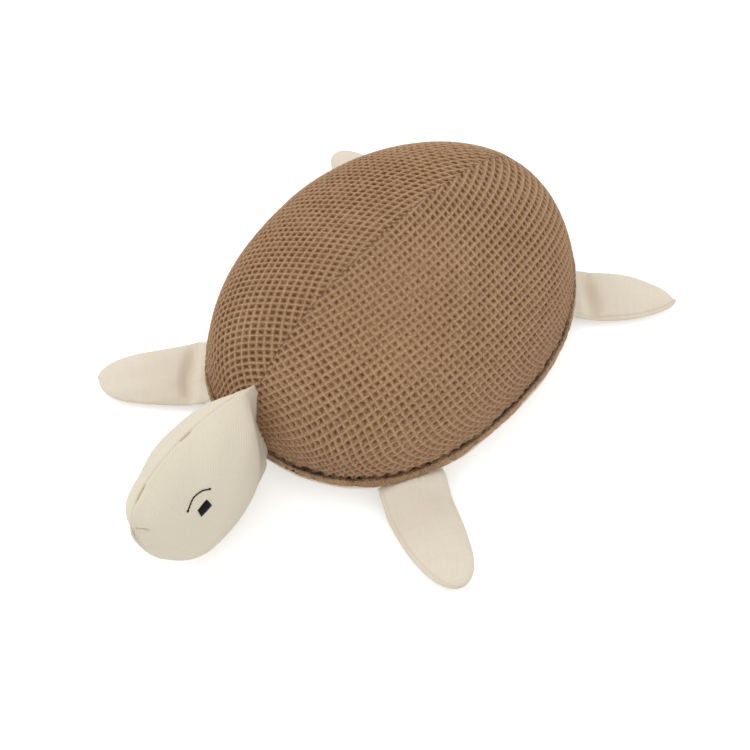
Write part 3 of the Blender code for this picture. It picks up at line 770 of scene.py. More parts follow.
def round_shares(columns):
    """Shares across a loop, from 1 to -1 and back, closer together at both edges, as a row."""
    eased = (1 - np.cos(pi * np.arange(columns) / columns)) / 2
    return np.concatenate([1 - 2 * eased, 2 * eased - 1])[None]


def half_loop(first, columns):
    """Columns of the half of a loop that starts at one of its edges, with both edges."""
    return np.arange(first, first + columns + 1) % (2 * columns)


def close_up(mesh):
    """Merges the points that meet, and turns the faces of a closed mesh outwards."""
    with opened(mesh) as made:
        bmesh.ops.remove_doubles(made, verts=made.verts, dist=1e-6)
        bmesh.ops.recalc_face_normals(made, faces=made.faces)


def face_away(mesh, place):
    """Turns an open mesh over if its faces look towards a place."""
    place = Vector(place)
    with opened(mesh) as made:
        looks = 0
        for face in made.faces:
            looks += face.normal.dot(face.calc_center_median() - place) * face.calc_area()
        if looks < 0:
            bmesh.ops.reverse_faces(made, faces=made.faces)


def grid_normals(points, closed=False):
    """Unit normals of a grid, from its rows and columns."""
    down = np.gradient(points, axis=0)
    if closed:
        across = np.roll(points, -1, axis=1) - np.roll(points, 1, axis=1)
    else:
        across = np.gradient(points, axis=1)
    normals = np.cross(down, across)
    return normals / np.maximum(np.linalg.norm(normals, axis=-1, keepdims=True), 1e-12)


def arc(points, axis):
    """Distance along a grid's rows or columns from the first point."""
    steps = np.linalg.norm(np.diff(points, axis=axis), axis=-1)
    return np.insert(np.cumsum(steps, axis=axis), 0, 0, axis=axis)


def near(distance, reach):
    """A smooth bump: 1 at no distance, and fading out past reach."""
    return np.exp(-((distance / reach) ** 2))


def signed_power(value, power):
    """value to a power, with its sign kept."""
    return np.sign(value) * np.abs(value) ** power


def add_piece(mesh, finish, slot, carrier, node=None, filling=None):
    """A finished piece of that mesh, which stands for a CAD node."""
    piece = bpy.data.objects.new(mesh.name, mesh)
    bpy.context.scene.collection.objects.link(piece)
    mesh.materials.clear()
    mesh.materials.append(finish)
    if isinstance(carrier, str):
        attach(piece, carrier)
    else:
        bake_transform(piece)
    if node:
        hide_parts(node)


# Stitches, laid along paths by Geometry Nodes


class Tree(Graph):
    """A Geometry Nodes tree with named inputs, which takes a path."""

    def __init__(self, name, inputs):
        self.tree = bpy.data.node_groups.new(name, "GeometryNodeTree")
        add = self.tree.interface.new_socket
        add("Path", in_out="INPUT", socket_type="NodeSocketGeometry")
        self.names = {}
        for title, kind in inputs:
            socket = add(title, in_out="INPUT", socket_type="NodeSocket" + kind)
            self.names[title] = socket.identifier
        add("Stitches", in_out="OUTPUT", socket_type="NodeSocketGeometry")
        self.given = self.node("NodeGroupInput").outputs
        self.exit = self.node("NodeGroupOutput")

    def end(self, geometry):
        """Realizes, smooths and colours what the tree has made."""
        real = self.node("GeometryNodeRealizeInstances", {}, {0: geometry})
        smooth = self.node("GeometryNodeSetShadeSmooth", {}, {0: real.outputs[0]})
        coloured = self.node(
            "GeometryNodeSetMaterial",
            {},
            {"Geometry": smooth.outputs[0], "Material": self.given["Material"]},
        )
        self.feed(self.exit.inputs[0], coloured.outputs[0])


def stitch_tree():
    """Separate stitches at even distances along a path, with a knot at each end if wanted."""
    tree = Tree(
        "stitches_on_path",
        (
            ("Spacing", "Float"),
            ("Stitch length", "Float"),
            ("Thread", "Float"),
            ("Knot", "Float"),
            ("Knots", "Bool"),
            ("Material", "Material"),
        ),
    )
    given = tree.given
    line = tree.node(
        "GeometryNodeResampleCurve",
        {"mode": "LENGTH"},
        {"Curve": given["Path"], "Length": given["Spacing"]},
    )
    tangent = tree.node("GeometryNodeInputTangent")
    turn = tree.node(
        "FunctionNodeAlignRotationToVector", {"axis": "X"}, {"Vector": tangent.outputs[0]}
    )
    size = {0: given["Stitch length"], 1: given["Thread"], 2: given["Thread"]}
    size = tree.node("ShaderNodeCombineXYZ", {}, size)
    bead = tree.node("GeometryNodeMeshUVSphere", {}, {"Segments": 8, "Rings": 7, "Radius": 0.5})
    stitches = tree.node(
        "GeometryNodeInstanceOnPoints",
        {},
        {
            "Points": line.outputs[0],
            "Instance": bead.outputs[0],
            "Rotation": turn.outputs[0],
            "Scale": size.outputs[0],
        },
    )
    ends = tree.node("GeometryNodeCurveEndpointSelection")
    ball = tree.node("GeometryNodeMeshIcoSphere", {}, {"Radius": 0.5, "Subdivisions": 2})
    knots = tree.node(
        "GeometryNodeInstanceOnPoints",
        {},
        {
            "Points": given["Path"],
            "Selection": ends.outputs[0],
            "Instance": ball.outputs[0],
            "Scale": given["Knot"],
        },
    )
    wanted = tree.node(
        "GeometryNodeSwitch",
        {"input_type": "GEOMETRY"},
        {"Switch": given["Knots"], "True": knots.outputs[0]},
    )
    both = tree.node("GeometryNodeJoinGeometry", {}, {0: stitches.outputs[0]})
    tree.feed(both.inputs[0], wanted.outputs[0])
    tree.end(both.outputs[0])
    return tree


def strand_tree():
    """One unbroken strand of thread swept along a path."""
    tree = Tree("strand_on_path", (("Thread", "Float"), ("Material", "Material")))
    half = {0: tree.given["Thread"], 1: 0.5}
    half = tree.node("ShaderNodeMath", {"operation": "MULTIPLY"}, half)
    section = {"Resolution": 6, "Radius": half.outputs[0]}
    section = tree.node("GeometryNodeCurvePrimitiveCircle", {}, section)
    swept = tree.node(
        "GeometryNodeCurveToMesh",
        {},
        {"Curve": tree.given["Path"], "Profile Curve": section.outputs[0], "Fill Caps": True},
    )
    tree.end(swept.outputs[0])
    return tree


def sewn(name, tree, path, values, closed=False):
    """The mesh that a tree makes along a path of points."""
    curve = bpy.data.curves.new(name, "CURVE")
    curve.dimensions = "3D"
    spline = curve.splines.new("POLY")
    spline.points.add(len(path) - 1)
    for place, point in zip(spline.points, path):
        place.co = (*point, 1)
    spline.use_cyclic_u = closed
    guide = bpy.data.objects.new(name + "_path", curve)
    bpy.context.scene.collection.objects.link(guide)
    modifier = guide.modifiers.new("sewing", "NODES")
    modifier.node_group = tree.tree
    for title, value in values.items():
        modifier[tree.names[title]] = value
    graph = bpy.context.evaluated_depsgraph_get()
    mesh = bpy.data.meshes.new_from_object(guide.evaluated_get(graph), depsgraph=graph)
    if len(mesh.polygons) == 0:
        raise RuntimeError(name + " came out empty")
    mesh.name = name
    bpy.data.objects.remove(guide)
    return mesh


def stitch(name, path, sizes, finish, slot, carrier, node, knot=0.0, closed=False):
    """Stitches along a path, which stand for a CAD thread. Their sizes are the distance from one
    to the next, their length and the thickness of the thread."""
    values = dict(zip(("Spacing", "Stitch length", "Thread"), sizes))
    values.update({"Knot": knot, "Knots": knot > 0, "Material": finish})
    mesh = sewn(name, stitch_tree(), path, values, closed)
    add_piece(mesh, finish, slot, carrier, node)


# The dome


class Dome:
    """The plain outline of the shell."""

    def __init__(self, shell):
        self.half_length = shell.dome_length / 2
        self.half_width = shell.dome_width / 2
        self.rim_height = shell.rim_height
        self.rise = shell.dome_height - shell.rim_height
        self.widest_y = self.half_length * WIDEST_PLACE_SHARE
        self.top_y = self.half_length * TOP_PLACE_SHARE
        self.turns = np.linspace(-pi, pi, RIM_STEPS + 1)
        self.rim_arc = arc(self.rim(self.turns), 0)

    def end(self, rear):
        """Power and reach of the rim's outline at its rear or front end."""
        power = np.where(rear, REAR_POWER, FRONT_POWER)
        return power, self.half_length + np.where(rear, -self.widest_y, self.widest_y)

    def rim(self, angle):
        """Plan points of the widest outline."""
        angle = np.asarray(angle, float)
        power, reach = self.end(np.sin(angle) > 0)
        x = self.half_width * signed_power(np.cos(angle), 2 / power)
        y = self.widest_y + reach * signed_power(np.sin(angle), 2 / power)
        return np.stack([x, y, np.zeros_like(x)], -1)

    def rim_normal(self, angle):
        """Outward normals of that outline, in plan."""
        along = self.rim(np.asarray(angle) + 0.01) - self.rim(np.asarray(angle) - 0.01)
        normal = np.stack([along[..., 1], -along[..., 0], 0 * along[..., 0]], -1)
        return normal / np.linalg.norm(normal, axis=-1, keepdims=True)

    def rim_angle(self, y, side):
        """Angle of the outline's point at y, on the left (1) or right (-1) side."""
        power, reach = self.end(y > self.widest_y)
        angle = np.arcsin((abs(y - self.widest_y) / reach) ** (power / 2))
        angle = float(angle * np.sign(y - self.widest_y))
        return angle if side > 0 else pi - angle

    def beside(self, angle, outward, height):
        """Points beside the rim, outward from it in plan."""
        points = self.rim(angle) + self.rim_normal(angle) * np.asarray(outward)[..., None]
        points[..., 2] = height
        return points

    def shares(self, slope):
        """Shares of the rise and of the rim's outline that the dome has at a slope, which is 0 at
        the rim and a quarter turn at the top."""
        lift = np.sin(slope) ** (2 / SIDE_POWER)
        return lift, np.cos(slope) ** (2 / CROWN_POWER) * (1 + SIDE_PINCH_SHARE * lift * (1 - lift))

    def centre(self, lift):
        """Middle of the outline at a share of the rise."""
        y = self.widest_y + (self.top_y - self.widest_y) * lift ** MIDDLE_POWER
        return self.seam_x(self.top_y) * lift ** SEAM_POWER, y

    def at(self, slope, angle):
        """Points of the dome."""
        lift, reach = self.shares(slope)
        centre_x, centre_y = self.centre(lift)
        rim = self.rim(angle)
        x = centre_x + rim[..., 0] * reach
        y = centre_y + (rim[..., 1] - self.widest_y) * reach
        z = self.rim_height + self.rise * lift + 0 * x
        return np.stack([x, y, z], -1)

    def guide(self):
        """The dome and a skirt below it, for finding the nearest place on it."""
        slopes = pi / 2 * (np.arange(GUIDE_ROWS + 1) / GUIDE_ROWS) ** GUIDE_SPACING
        angles = np.arange(GUIDE_COLUMNS) * 2 * pi / GUIDE_COLUMNS
        rows = [self.at(slope, angles) for slope in slopes]
        rows.insert(0, rows[0] - np.array([0, 0, self.half_length * 3]))
        faces = grid_faces(len(rows), GUIDE_COLUMNS, True)
        return BVHTree.FromPolygons(np.concatenate(rows).tolist(), faces.tolist())

    def seam_x(self, y):
        """Place of the centre seam, which runs a little askew."""
        return self.half_length * SEAM_OFFSET_SHARE + SEAM_SKEW_SHARE * y

    def even_angles(self, count):
        """Angles at even distances round the rim, and those distances."""
        places = np.arange(count) / count * self.rim_arc[-1]
        return np.interp(places, self.rim_arc, self.turns), places

    def turn_of(self, points):
        """Distance round the rim, from the rear right, of points above it."""
        x = points[..., 0] / self.half_width
        y = (points[..., 1] - self.widest_y) / self.half_length
        angle = np.arctan2(signed_power(y, TURN_POWER), signed_power(x, TURN_POWER))
        return np.interp(angle, self.turns, self.rim_arc)

    def ridge(self):
        """The line over the top from front to rear: distances from the top, y and lift."""
        lift = 1 - np.linspace(1, 0, RIDGE_STEPS) ** RIDGE_SPACING
        slope = np.arcsin(lift ** (SIDE_POWER / 2))
        front = self.at(slope, np.full_like(slope, -pi / 2))
        rear = self.at(slope, np.full_like(slope, pi / 2))
        line = np.concatenate([front, rear[-2::-1]])
        along = arc(line[:, 1:], 0)
        return along - along[len(front) - 1], line[:, 1], np.concatenate([lift, lift[-2::-1]])

    def section(self, y, top):
        """The cut across the dome at y, right to left: distances from the seam, x and z."""
        lift = top * (1 - np.linspace(0, 1, SECTION_STEPS) ** 2)
        reach = np.maximum(self.shares(np.arcsin(lift ** (SIDE_POWER / 2)))[1], 1e-9)
        centre_x, centre_y = self.centre(lift)
        power, half = self.end(y > centre_y)
        inside = np.maximum(1 - (np.abs(y - centre_y) / reach / half) ** power, 0)
        wide = self.half_width * inside ** (1 / power) * reach
        x = np.concatenate([(centre_x - wide)[::-1], centre_x + wide])
        z = self.rim_height + self.rise * np.concatenate([lift[::-1], lift])
        across = arc(np.stack([x, z], -1), 0)
        return across - np.interp(self.seam_x(y), x, across), x, z

    def panel(self, side, step):
        """A grid over one side: columns start on the seam, and rows run across the dome. Past
        the rim the columns go straight down. Also gives the distances along both."""
        along, ridge_y, ridge_lift = self.ridge()
        rows = np.arange(np.ceil(along[0] / step), along[-1] / step) * step
        columns = np.arange(int(self.half_width * 1.7 / step)) * step
        points = np.zeros((len(rows), len(columns), 3))
        for i, place in enumerate(rows):
            y = np.interp(place, along, ridge_y)
            across, x, z = self.section(y, np.interp(place, along, ridge_lift))
            if side < 0:
                across, x, z = -across[::-1], x[::-1], z[::-1]
            below = np.maximum(columns - across[-1], 0)
            points[i, :, 0] = np.interp(columns, across, x)
            points[i, :, 1] = y
            points[i, :, 2] = np.interp(columns, across, z) - below
        return points, columns[None] + 0 * rows[:, None], rows[:, None] + 0 * columns[None]


def threads(aside, along):
    """Distances over the cloth along its weft and its warp. The panels are cut with a bowed
    edge, so that the warp runs into the seam at both ends and the weft leans forward."""
    stretch = WARP_STRETCH * np.sin(2 * pi * aside / WARP_STRETCH_REACH)
    bow = WARP_BOW * along * along * (1 - aside / WARP_BOW_REACH)
    lean = WEFT_LEAN * (aside - aside ** 3 / (3 * WEFT_LEAN_REACH ** 2))
    return aside - stretch + bow, along + lean


def crest_of_waffle(u, v):
    """Height of the waffle relief, 0 on the ridges and -1 at the bottom of a cell."""
    across = np.abs(u - np.floor(u) - 0.5) * 2
    along = np.abs(v - np.floor(v) - 0.5) * 2
    return np.maximum(across, along) ** WAFFLE_POWER - 1


def gathers(distance, pitch):
    """Uneven waves along the hem, from -1 to 1."""
    drift = 1.1 * np.sin(distance * 41) + 0.9 * np.sin(distance * 97 + 1.7)
    return np.sin(distance * 2 * pi / pitch + drift)


def wander(places, total, what):
    """Smooth chance values from -1 to 1 along a closed line."""
    count, seed = CHANCE[what]
    values = np.random.default_rng(seed).uniform(-1, 1, count)
    share = np.mod(places / total, 1) * count
    first = np.floor(share).astype(int)
    t = share - first
    a, b, c, d = (values[(first + step) % count] for step in (-1, 0, 1, 2))
    square, cube = 2 * a - 5 * b + 4 * c - d, 3 * b - a - 3 * c + d
    return 0.5 * (2 * b + (c - a) * t + square * t ** 2 + cube * t ** 3)


def painted_fold_shade(distance, total):
    """How dark the painted shade in the fold between shell and hem is along the rim."""
    return 0.75 + 0.25 * wander(distance, total, "fold")


def shell_relief(shell, points, u, v, aside, along, distance, total):
    """Height of the waffle cells, and of the seam that the panels' edges are turned in to."""
    uneven = 1 + 0.25 * wander(distance + aside * 2, total, "cells")
    away = np.linalg.norm(points - STRETCH_PLACE, axis=-1)
    uneven *= SLACK_DEPTH - STRETCH_DEPTH * near(away, STRETCH_REACH)
    height = crest_of_waffle(u, v) * shell.depth * uneven
    height *= 1 - near(aside, shell.cell * 0.20)
    drift = CATCH_WANDER * np.sin(along * CATCH_TURN)
    catch = np.clip(0.35 + 0.75 * np.sin(along * 2 * pi / CATCH_PITCH + drift), 0, 1)
    catch *= 0.2 + 0.8 * np.clip((CATCH_END - along) / CATCH_FADE, 0, 1)
    height -= shell.seam * catch * near(aside, SLIT_REACH)
    return height - SEAM_DIP * near(aside, shell.cell)


def shell_panel(name, dome, shell, hem, side):
    """One side of the waffle-weave dome, and the points along its seam."""
    points, aside, along = dome.panel(side, shell.mesh)
    rows, columns = points.shape[:2]
    distance, total = dome.turn_of(points), dome.rim_arc[-1]
    outward = dome.rim_normal(np.interp(distance, dome.rim_arc, dome.turns))
    foot = dome.rim_height + hem.band / 2
    above = points[..., 2] - foot
    over = np.maximum(above, 0)
    bunched = shell.bunch * near(over, BUNCH_REACH)
    weft, warp = threads(
        aside + bunched * np.abs(outward[..., 0]), along + bunched * outward[..., 1]
    )
    u = weft * side / shell.cell + WAFFLE_STARTS[side][0]
    v = warp / shell.cell + WAFFLE_STARTS[side][1]
    normals = grid_normals(points)
    normals *= np.sign(normals[rows // 2, 0, 2])
    height = shell_relief(shell, points, u, v, aside, along, distance, total)
    folds = gathers(distance, hem.pucker_pitch * 0.9) + 0.6 * wander(distance, total, "gathers")
    height += shell.gather * near(over, GATHER_REACH) * folds
    points = points + normals * (height + shell.depth * 0.3)[..., None]
    drawn = 1 + 0.3 * wander(distance, total, "drawn in")
    drawn = hem.crease * drawn * near(above, DRAW_REACH)
    points -= outward * drawn[..., None]
    faces = grid_faces(rows, columns, flip=side < 0)
    heights = points[..., 2].reshape(-1)[faces]
    faces = faces[(heights > dome.rim_height - hem.band).all(axis=1)]
    # Painted shade in the fold just above the hem, kept in the crease attribute
    dark = near(over, FOLD_REACH) * painted_fold_shade(distance, total)
    mesh = mesh_of(name, points, faces, np.stack([u, v], -1), dark)
    with opened(mesh) as trim:
        bmesh.ops.bisect_plane(
            trim,
            geom=trim.verts[:] + trim.edges[:] + trim.faces[:],
            plane_co=(0, 0, dome.rim_height),
            plane_no=(0, 0, 1),
            clear_inner=True,
        )
        loose = [vert for vert in trim.verts if not vert.link_faces]
        bmesh.ops.delete(trim, geom=loose, context="VERTS")
        bmesh.ops.dissolve_degenerate(trim, dist=1e-7, edges=trim.edges)
    mesh.shade_smooth()
    seam = points[:, 0] - normals[:, 0] * (height[:, :1] + shell.seam * 0.35)
    return mesh, seam[seam[:, 2] > foot]


class TURTLE_OT_shell_cloth(Operator):
    """Waffle-weave panels of the dome, and the stitches of the seam between them"""

    bl_idname = "turtle.shell_cloth"
    bl_label = "Shell cloth"

    def execute(self, context):
        shell, hem = context.scene.turtle_shell, context.scene.turtle_hem
        dome = Dome(shell)
        finish = waffle_finish(tuple(shell.ridge), tuple(shell.pit))
        for word, side in SIDES.items():
            name = "shell_" + word
            mesh, seam = shell_panel(name + "_cloth", dome, shell, hem, side)
            add_piece(mesh, finish, "waffle_brown", "body", name + "_panel", filling=0.95)
        thread = thread_finish("brown_thread", tuple(shell.thread))
        sizes = shell.cell * 0.85, shell.cell * 0.72, shell.thread_size
        seat = "thread_brown", "body", "shell_centre_seam"
        stitch("centre_seam_stitches", seam, sizes, thread, *seat)
        return {"FINISHED"}


class TURTLE_OT_hem(Operator):
    """Rolled and gathered hem, and the thread that draws it in"""

    bl_idname = "turtle.hem"
    bl_label = "Hem"

    columns: IntProperty(name="Columns", description="Points round the hem", default=1300, min=60)
    sides: IntProperty(name="Sides", description="Points round the roll", default=26, min=8)

    def execute(self, context):
        shell, hem = context.scene.turtle_shell, context.scene.turtle_hem
        dome = Dome(shell)
        angles, places = dome.even_angles(self.columns)
        around = np.arange(self.sides)[:, None] / self.sides * 2 * pi
        s = places[None] + 0 * around
        total = dome.rim_arc[-1]
        phase = s / hem.strand + HEM_TWIST * around + 0.9 * wander(s, total, "ridges")
        firm = np.clip(0.9 * wander(s, total, "firmness"), 0, 1) * HEM_FIRM
        ribs = -np.cos(2 * pi * phase) * firm * HEM_RIB
        dip = hem.pucker * self.puckers(hem, s, around, total)
        swell = self.swell(hem, dome, s, total)
        half_depth = hem.roll / 2 * swell - dip + ribs
        half_height = hem.band / 2 * swell - dip * 0.7 + ribs
        outward = half_depth * signed_power(np.cos(around), 2 / ROLL_POWER)
        outward += hem.proud - hem.roll / 2
        height = dome.rim_height + half_height * signed_power(np.sin(around), 2 / ROLL_POWER)
        height += hem.band / 2 * (1 - hem.slack) + HEM_LIFT * wander(s, total, "lift")
        points = dome.beside(np.repeat(angles[None], self.sides, 0), outward, height)
        weave = np.stack([phase, 0.95 - 0.28 * firm], -1)
        blotch = np.clip(wander(s + BLOTCH_LEAN * np.sin(around), total, "blotches"), 0, 1)
        # Painted shade on the roll's upper inner side, where it meets the shell's cloth, and
        # blotches of the cloth's own darker tone
        dark = near(around - 2.0, 0.45) * painted_fold_shade(s, total) + 0.22 * blotch
        points, dark = (np.concatenate([part, part[:1]]) for part in (points, dark))
        weave = np.concatenate([weave, weave[:1] + np.array([HEM_TWIST * 2 * pi, 0])])
        faces = grid_faces(len(points), self.columns, True)
        mesh = mesh_of("hem_roll", points, faces, weave, dark)
        close_up(mesh)
        finish = bpy.data.materials["waffle_cotton"]
        add_piece(mesh, finish, "waffle_brown", "body", "shell_hem_band", filling=0.8)
        crease = hem.proud - hem.crease * 0.8 + 0 * angles
        level = dome.rim_height + hem.band / 2 + GATHER_THREAD_LIFT
        path = dome.beside(angles, crease, level)[::3]
        sizes = hem.pucker_pitch / 2, hem.pucker_pitch * 0.34, shell.thread_size
        thread = bpy.data.materials["brown_thread"]
        seat = "thread_brown", "body", "hem_gather_thread"
        stitch("hem_gather_stitches", path, sizes, thread, *seat, closed=True)
        return {"FINISHED"}

    def puckers(self, hem, s, around, total):
        """Depths of the puckers across the roll, from 0 to 1."""
        chance = np.random.default_rng(PUCKER_SEED)
        count = int(total / hem.pucker_pitch)
        dip = 0 * s
        for k in range(count):
            place = (k + chance.uniform(0.1, 0.9)) * total / count
            slant = chance.uniform(*PUCKER_SLANTS) * np.sin(around)
            gap = np.mod(s - place - slant + total / 2, total) - total / 2
            depth = chance.uniform(0.15, 1)
            dip = np.maximum(dip, depth * near(gap, chance.uniform(*PUCKER_REACHES)))
        return dip

    def swell(self, hem, dome, s, total):
        """Thickness of the roll, as a share of the band."""
        swell = 1 + 0.17 * wander(s, total, "thickness") + 0.09 * wander(s, total, "lumps")
        swell = hem.slack * swell
        thinner = [(-pi / 2, HEM_NECK_REACH)]
        for name in ("front_right", "rear_left"):
            thinner.append((flipper_root(dome, name)[0], HEM_ROOT_REACH))
        for angle, reach in thinner:
            place = np.interp(angle, dome.turns, dome.rim_arc)
            swell *= 1 - HEM_THINNER * near(s - place, reach)
        return swell


def flipper_root(dome, name):
    """Where a flipper leaves the hem: angle and plan point."""
    spec = FLIPPERS[name]
    angle = dome.rim_angle(dome.half_length * spec["place"], spec["side"])
    return (angle + pi) % (2 * pi) - pi, dome.rim(angle)


class TURTLE_OT_belly(Operator):
    """Belly cloth, which swells a little under the hem between the flippers"""

    bl_idname = "turtle.belly"
    bl_label = "Belly cloth"

    def execute(self, context):
        belly, hem = context.scene.turtle_belly, context.scene.turtle_hem
        dome = Dome(context.scene.turtle_shell)
        angles, places = dome.even_angles(BELLY_COLUMNS)
        free = self.free(dome, dome.rim(angles), context.scene.turtle_head.offset)
        free *= 0.6 + 0.5 * wander(places, dome.rim_arc[-1], "belly")
        turn = np.linspace(0, 1, BELLY_ROWS)[:, None] * pi / 2
        top = dome.rim_height - hem.band / 2
        inward = (belly.flat_inset - belly.inset) * (1 - np.cos(turn) ** (2 / BELLY_POWER))
        height = top * (1 - np.sin(turn) ** (2 / BELLY_POWER)) + 0 * places[None]
        bulge = belly.bulge * free[None] * near(height / top - BULGE_LEVEL, BULGE_REACH)
        height += belly.lap * near(turn, LAP_REACH)
        outward = bulge - belly.inset - inward
        points = dome.beside(np.repeat(angles[None], len(turn), 0), outward, height)
        middle = np.array([0, dome.widest_y, 0])
        inner = [points[-1] * (1 - share) + middle * share for share in (0.34, 0.67, 1.0)]
        points = np.concatenate([points, inner])
        weave = points[..., :2] + np.stack([0 * points[..., 2], points[..., 2]], -1)
        mesh = mesh_of("belly_cloth", points, grid_faces(len(points), len(angles), True), weave)
        close_up(mesh)
        face_away(mesh, (0, 0, dome.half_length))
        cloth = tuple(belly.cloth)
        finish = linen_finish("belly_cotton", cloth, cloth, belly.yarn)
        add_piece(mesh, finish, "belly_cream", "body", "belly_panel", filling=0.9)
        return {"FINISHED"}

    def free(self, dome, rim, neck_x):
        """How free the cloth is of the flippers and the neck at each point of the rim."""
        held = [(flipper_root(dome, name)[1], BELLY_ROOT_REACH) for name in FLIPPERS]
        held.append((np.array([neck_x, -dome.half_length, 0]), BELLY_NECK_REACH))
        free = np.ones(len(rim))
        for place, reach in held:
            free *= 1 - near(np.linalg.norm(rim - place, axis=-1), reach) ** 0.7
        return free


# Head


def through(points, place):
    """The smooth curve through a few (place, value) points."""
    total = 0
    for i, (xi, value) in enumerate(points):
        part = value
        for j, (xj, _) in enumerate(points):
            if i != j:
                part = part * (place - xj) / (xi - xj)
        total = total + part
    return total


class Skull:
    """The plain outline of the head, and the planes that its neck ends on."""

    def __init__(self, dome, head, hem):
        self.length = head.head_length
        self.width = head.head_width
        self.height = head.head_height
        self.offset = head.offset
        self.full = head.full
        angle = np.arcsin(signed_power(head.offset / dome.half_width, FRONT_POWER / 2)) - pi / 2
        front = dome.beside(angle, hem.proud, dome.rim_height)
        slopes = pi / 2 * np.arange(1, LEAN_STEPS) / LEAN_STEPS
        rows = dome.at(slopes, np.full(len(slopes), angle))
        rows = rows[rows[:, 2] > dome.rim_height + hem.band / 2]
        self.lean = ((rows[:, 1] - front[1]) / (rows[:, 2] - front[2])).min()
        self.rim_height = dome.rim_height
        self.front = front[1] - SEAT_GAP
        crest = self.height * CREST_SHARES[0][1]
        start = self.front + self.lean * (crest - self.rim_height) - head.set_out
        roll = self.height * ROLL_LEVEL_SHARE
        frame = (
            Matrix.Translation((head.offset, start, roll))
            @ Matrix.Rotation(HEAD_YAW, 4, "Z")
            @ Matrix.Rotation(-HEAD_ROLL, 4, "Y")
            @ Matrix.Translation((0, 0, -roll))
        )
        self.turn, self.origin = np.array(frame)[:3, :3], np.array(frame)[:3, 3]
        self.forward = Vector((0, -1, self.lean)).normalized()
        self.corner = Vector(self.at(self.start(1.0, 1.0), 1.0, 1.0))

    def at(self, place, level, side):
        """Points of the skin. place runs from the neck to the nose, level from the chin (-1) to
        the crest (1), and side is left (1) or right (-1)."""
        crest = self.height * through(CREST_SHARES, place)
        chin = self.height * through(CHIN_SHARES, place)
        middle = chin + (crest - chin) * (CHEEK_LEVEL_SHARE + CHEEK_RISE_SHARE * place)
        inside = np.maximum(place, 0)
        blunt = np.sqrt(np.maximum(1 - inside ** NOSE_POWER, 0))
        narrow = np.sqrt(np.maximum(1 - inside ** TAPER_POWER, 0))
        half = self.width / 2 * through(CHEEK_SHARES, place) * narrow
        span = np.where(level > 0, crest - middle, middle - chin)
        power = np.where(level > 0, RIDGE_POWER, 0.5)
        x = side * half * np.maximum(1 - level * level, 0) ** power
        local = np.stack([x, -place * self.length + 0 * x, middle + span * blunt * level], -1)
        local[..., 0] *= self.waist(local, level)
        return local @ self.turn.T + self.origin

    def neck_plane(self, height):
        """How far forward the plane that the neck ends on is at a height."""
        return self.front + self.lean * (height - self.rim_height)

    def waist(self, local, level):
        """Share of its width that the head keeps, as it is drawn in where it meets the shell."""
        ridge = local * np.array([0, 1, 1]) @ self.turn.T + self.origin
        ahead = self.neck_plane(ridge[..., 2]) - ridge[..., 1]
        held = NECK_DRAW_SHARE * np.clip((level + 0.8) / 0.7, 0, 1)
        return 1 - held * near(np.maximum(ahead, 0), NECK_DRAW_REACH * self.length)

    def drawn_in(self, points):
        """Points of the stuffing, drawn in with the cloth round them."""
        local = (points - self.origin) @ self.turn
        local[:, 0] *= self.waist(local, local[:, 2] / self.height * 2 - 1)
        return local @ self.turn.T + self.origin

    def swell(self, place, level, side):
        """How far the stuffing pushes the skin out beyond its plain outline."""
        jowl, snout = (
            near(place - along, reach) * near(level - middle, width)
            for along, reach, middle, width in (JOWL, SNOUT)
        )
        waves = np.sin(place * 13 + level * 3 + side) * np.sin(level * 4.5 + place * 7)
        return self.full * (jowl + SNOUT_SHARE * snout) + HEAD_WAVE * waves

    def start(self, level, side):
        """Where along its length the skin starts."""
        place = 0 * np.asarray(level, float)
        for _ in range(START_STEPS):
            point = self.at(place, level, side)
            draft = np.abs(point[..., 0] - self.offset) * tan(NECK_DRAFT)
            past = point[..., 1] - self.neck_plane(point[..., 2]) + draft
            place = place + past / self.length
        return place

    def bend(self, distance):
        start = self.corner + self.forward * HEAD_BEND_START
        return "neck", "head", start, start + self.forward * distance

    def on_skin(self, shares, side, proud):
        """Points held proud of the swelled skin, at some (place, level) shares."""
        place, level = np.array(shares).T
        step = 0.004
        here = self.at(place, level, side)
        along = self.at(place + step, level, side) - self.at(place - step, level, side)
        around = self.at(place, level + step, side) - self.at(place, level - step, side)
        normal = np.cross(around, along) * side
        normal /= np.linalg.norm(normal, axis=-1, keepdims=True)
        return here + normal * (proud + self.swell(place, level, side))[..., None]


def seam_relief(head, places, gap, creases):
    """Height of the cloth beside a seam of the head, which puckers at its creases, and the painted
    shade deep in the puckers.
    """
    pinch = 0 * gap
    for first, last, depth in creases:
        inside = np.clip((places - first) / CREASE_FADE, 0, 1)
        inside *= np.clip((last - places) / CREASE_FADE, 0, 1)
        pinch = np.maximum(pinch, depth * np.sin(inside * pi / 2))
    valley = near(gap - SEAM_LIP, SEAM_LIP_REACH) - near(gap, SEAM_REACH)
    pucker = 0.45 * near(gap - PUCKER_LIP, PUCKER_LIP_REACH) - near(gap, PUCKER_REACH)
    pucker -= 0.5 * near(gap, PUCKER_HOLLOW_REACH)
    height = head.seam_depth * valley + head.pucker * pinch * pucker
    return height, pinch * near(gap, PUCKER_LINE)


def dart_gap(skull, points, side):
    """Distance of points from the nose dart on one side."""
    share = np.array(DART_SHARES)
    line = skull.at(share[:, 0], share[:, 1], side)
    gap = np.full(points.shape[:2], 1.0)
    for a, b in zip(line, line[1:]):
        share = ((points - a) @ (b - a) / ((b - a) @ (b - a))).clip(0, 1)
        gap = np.minimum(gap, np.linalg.norm(points - a - share[..., None] * (b - a), axis=-1))
    return gap


